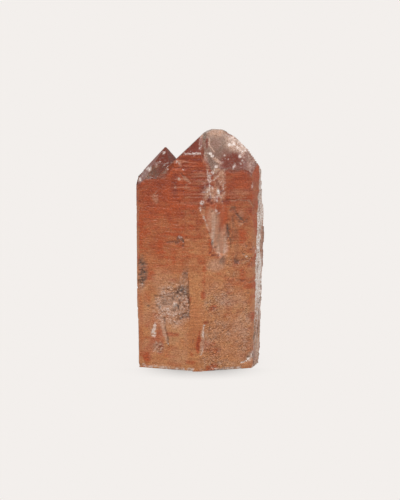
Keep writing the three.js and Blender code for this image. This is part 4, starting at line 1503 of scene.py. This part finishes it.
def make_world():
    world = bpy.data.worlds.new("studio")
    bpy.context.scene.world = world
    world.use_nodes = True
    board = Board(world.node_tree)
    way = board.add("TexCoord").outputs["Generated"]
    parts = board.add("SeparateXYZ", {0: way})
    behind = board.spread(parts.outputs["Y"], -0.5, 0.6, 0.26, 0.66)
    above = board.spread(parts.outputs["Z"], 0.2, 0.9, 0.0, 0.10)
    light = board.total(behind, above)
    seen = board.add("LightPath").outputs["Is Camera Ray"]
    around = board.add("Background", {"Color": colour(1.0, 0.975, 0.95), "Strength": light})
    paper = board.add("Background", {"Color": PAPER, "Strength": 1.0})
    both = board.add("MixShader", {0: seen, 1: around.outputs[0], 2: paper.outputs[0]})
    board.add("OutputWorld", {"Surface": both.outputs[0]})


def make_floor():
    bm = bmesh.new()
    bmesh.ops.create_grid(bm, x_segments=1, y_segments=1, size=30)
    floor = object_of(bm, "floor")
    material = bpy.data.materials.new("paper")
    material.use_nodes = True
    board = Board(material.node_tree)
    contact = board.add("AmbientOcclusion", {"Distance": SHADOW_REACH}, samples=8)
    hidden = board.math("SUBTRACT", 1.0, contact.outputs["AO"])
    place = board.add("SeparateXYZ", {0: board.add("TexCoord").outputs["Object"]})
    aside = board.math("ABSOLUTE", place.outputs["X"])
    middle = board.spread(aside, 8 * MM, 25 * MM, 0.75, 0.10)
    front = board.spread(place.outputs["Y"], -12 * MM, -8 * MM, 1.0, 0.25)
    dark = board.product(hidden, board.product(middle, front))
    shade = board.math("SUBTRACT", 1.0, dark)
    seen = board.add("LightPath").outputs["Is Camera Ray"]
    strength = board.product(shade, board.spread(seen, 0.0, 1.0, 0.58, 1.0))
    glow = board.add("Emission", {"Color": PAPER, "Strength": strength})
    board.add("OutputMaterial", {"Surface": glow.outputs[0]})
    floor.data.materials.append(material)


def aimed(thing, place, target):
    thing.location = place
    thing.rotation_mode = "QUATERNION"
    thing.rotation_quaternion = (Vector(target) - Vector(place)).to_track_quat("-Z", "Y")


# Square lamps, all aimed at the middle of the stone: place and side in metres, power in watts
LAMPS = [
    ("key", (-0.30, -0.42, 0.55), 0.30, 3.5), ("fill", (0.48, -0.25, 0.25), 0.80, 2.1),
    ("top", (0.15, 0.05, 0.70), 0.50, 0.6),
]
LAMP_TARGET = (0, 0, 0.04)


def make_light(name, place, side, power):
    lamp = bpy.data.lights.new(name, "AREA")
    lamp.shape = "RECTANGLE"
    lamp.size = side
    lamp.size_y = side
    lamp.energy = power
    thing = bpy.data.objects.new(name, lamp)
    bpy.context.scene.collection.objects.link(thing)
    aimed(thing, place, LAMP_TARGET)


# The camera stands 520 mm from the middle of the stone and looks down on it by ten degrees
CAMERA_FAR = 520 * MM
CAMERA_UP = math.radians(10)
CAMERA_TARGET = (-0.38 * MM, -4.12 * MM, 43.8 * MM)
LENS = 100.8


def make_camera():
    data = bpy.data.cameras.new("camera")
    data.lens = LENS
    data.sensor_width = 36
    camera = bpy.data.objects.new("camera", data)
    bpy.context.scene.collection.objects.link(camera)
    back = Vector((0, -math.cos(CAMERA_UP), math.sin(CAMERA_UP)))
    aimed(camera, Vector(CAMERA_TARGET) + CAMERA_FAR * back, CAMERA_TARGET)
    bpy.context.scene.camera = camera


def set_view():
    scene = bpy.context.scene
    scene.view_settings.view_transform = "Standard"
    scene.cycles.max_bounces = 16
    scene.cycles.transmission_bounces = 12
    scene.cycles.use_denoising = True


build_stone()
make_world()
make_floor()
for name, place, side, power in LAMPS:
    make_light(name, place, side, power)
make_camera()
set_view()
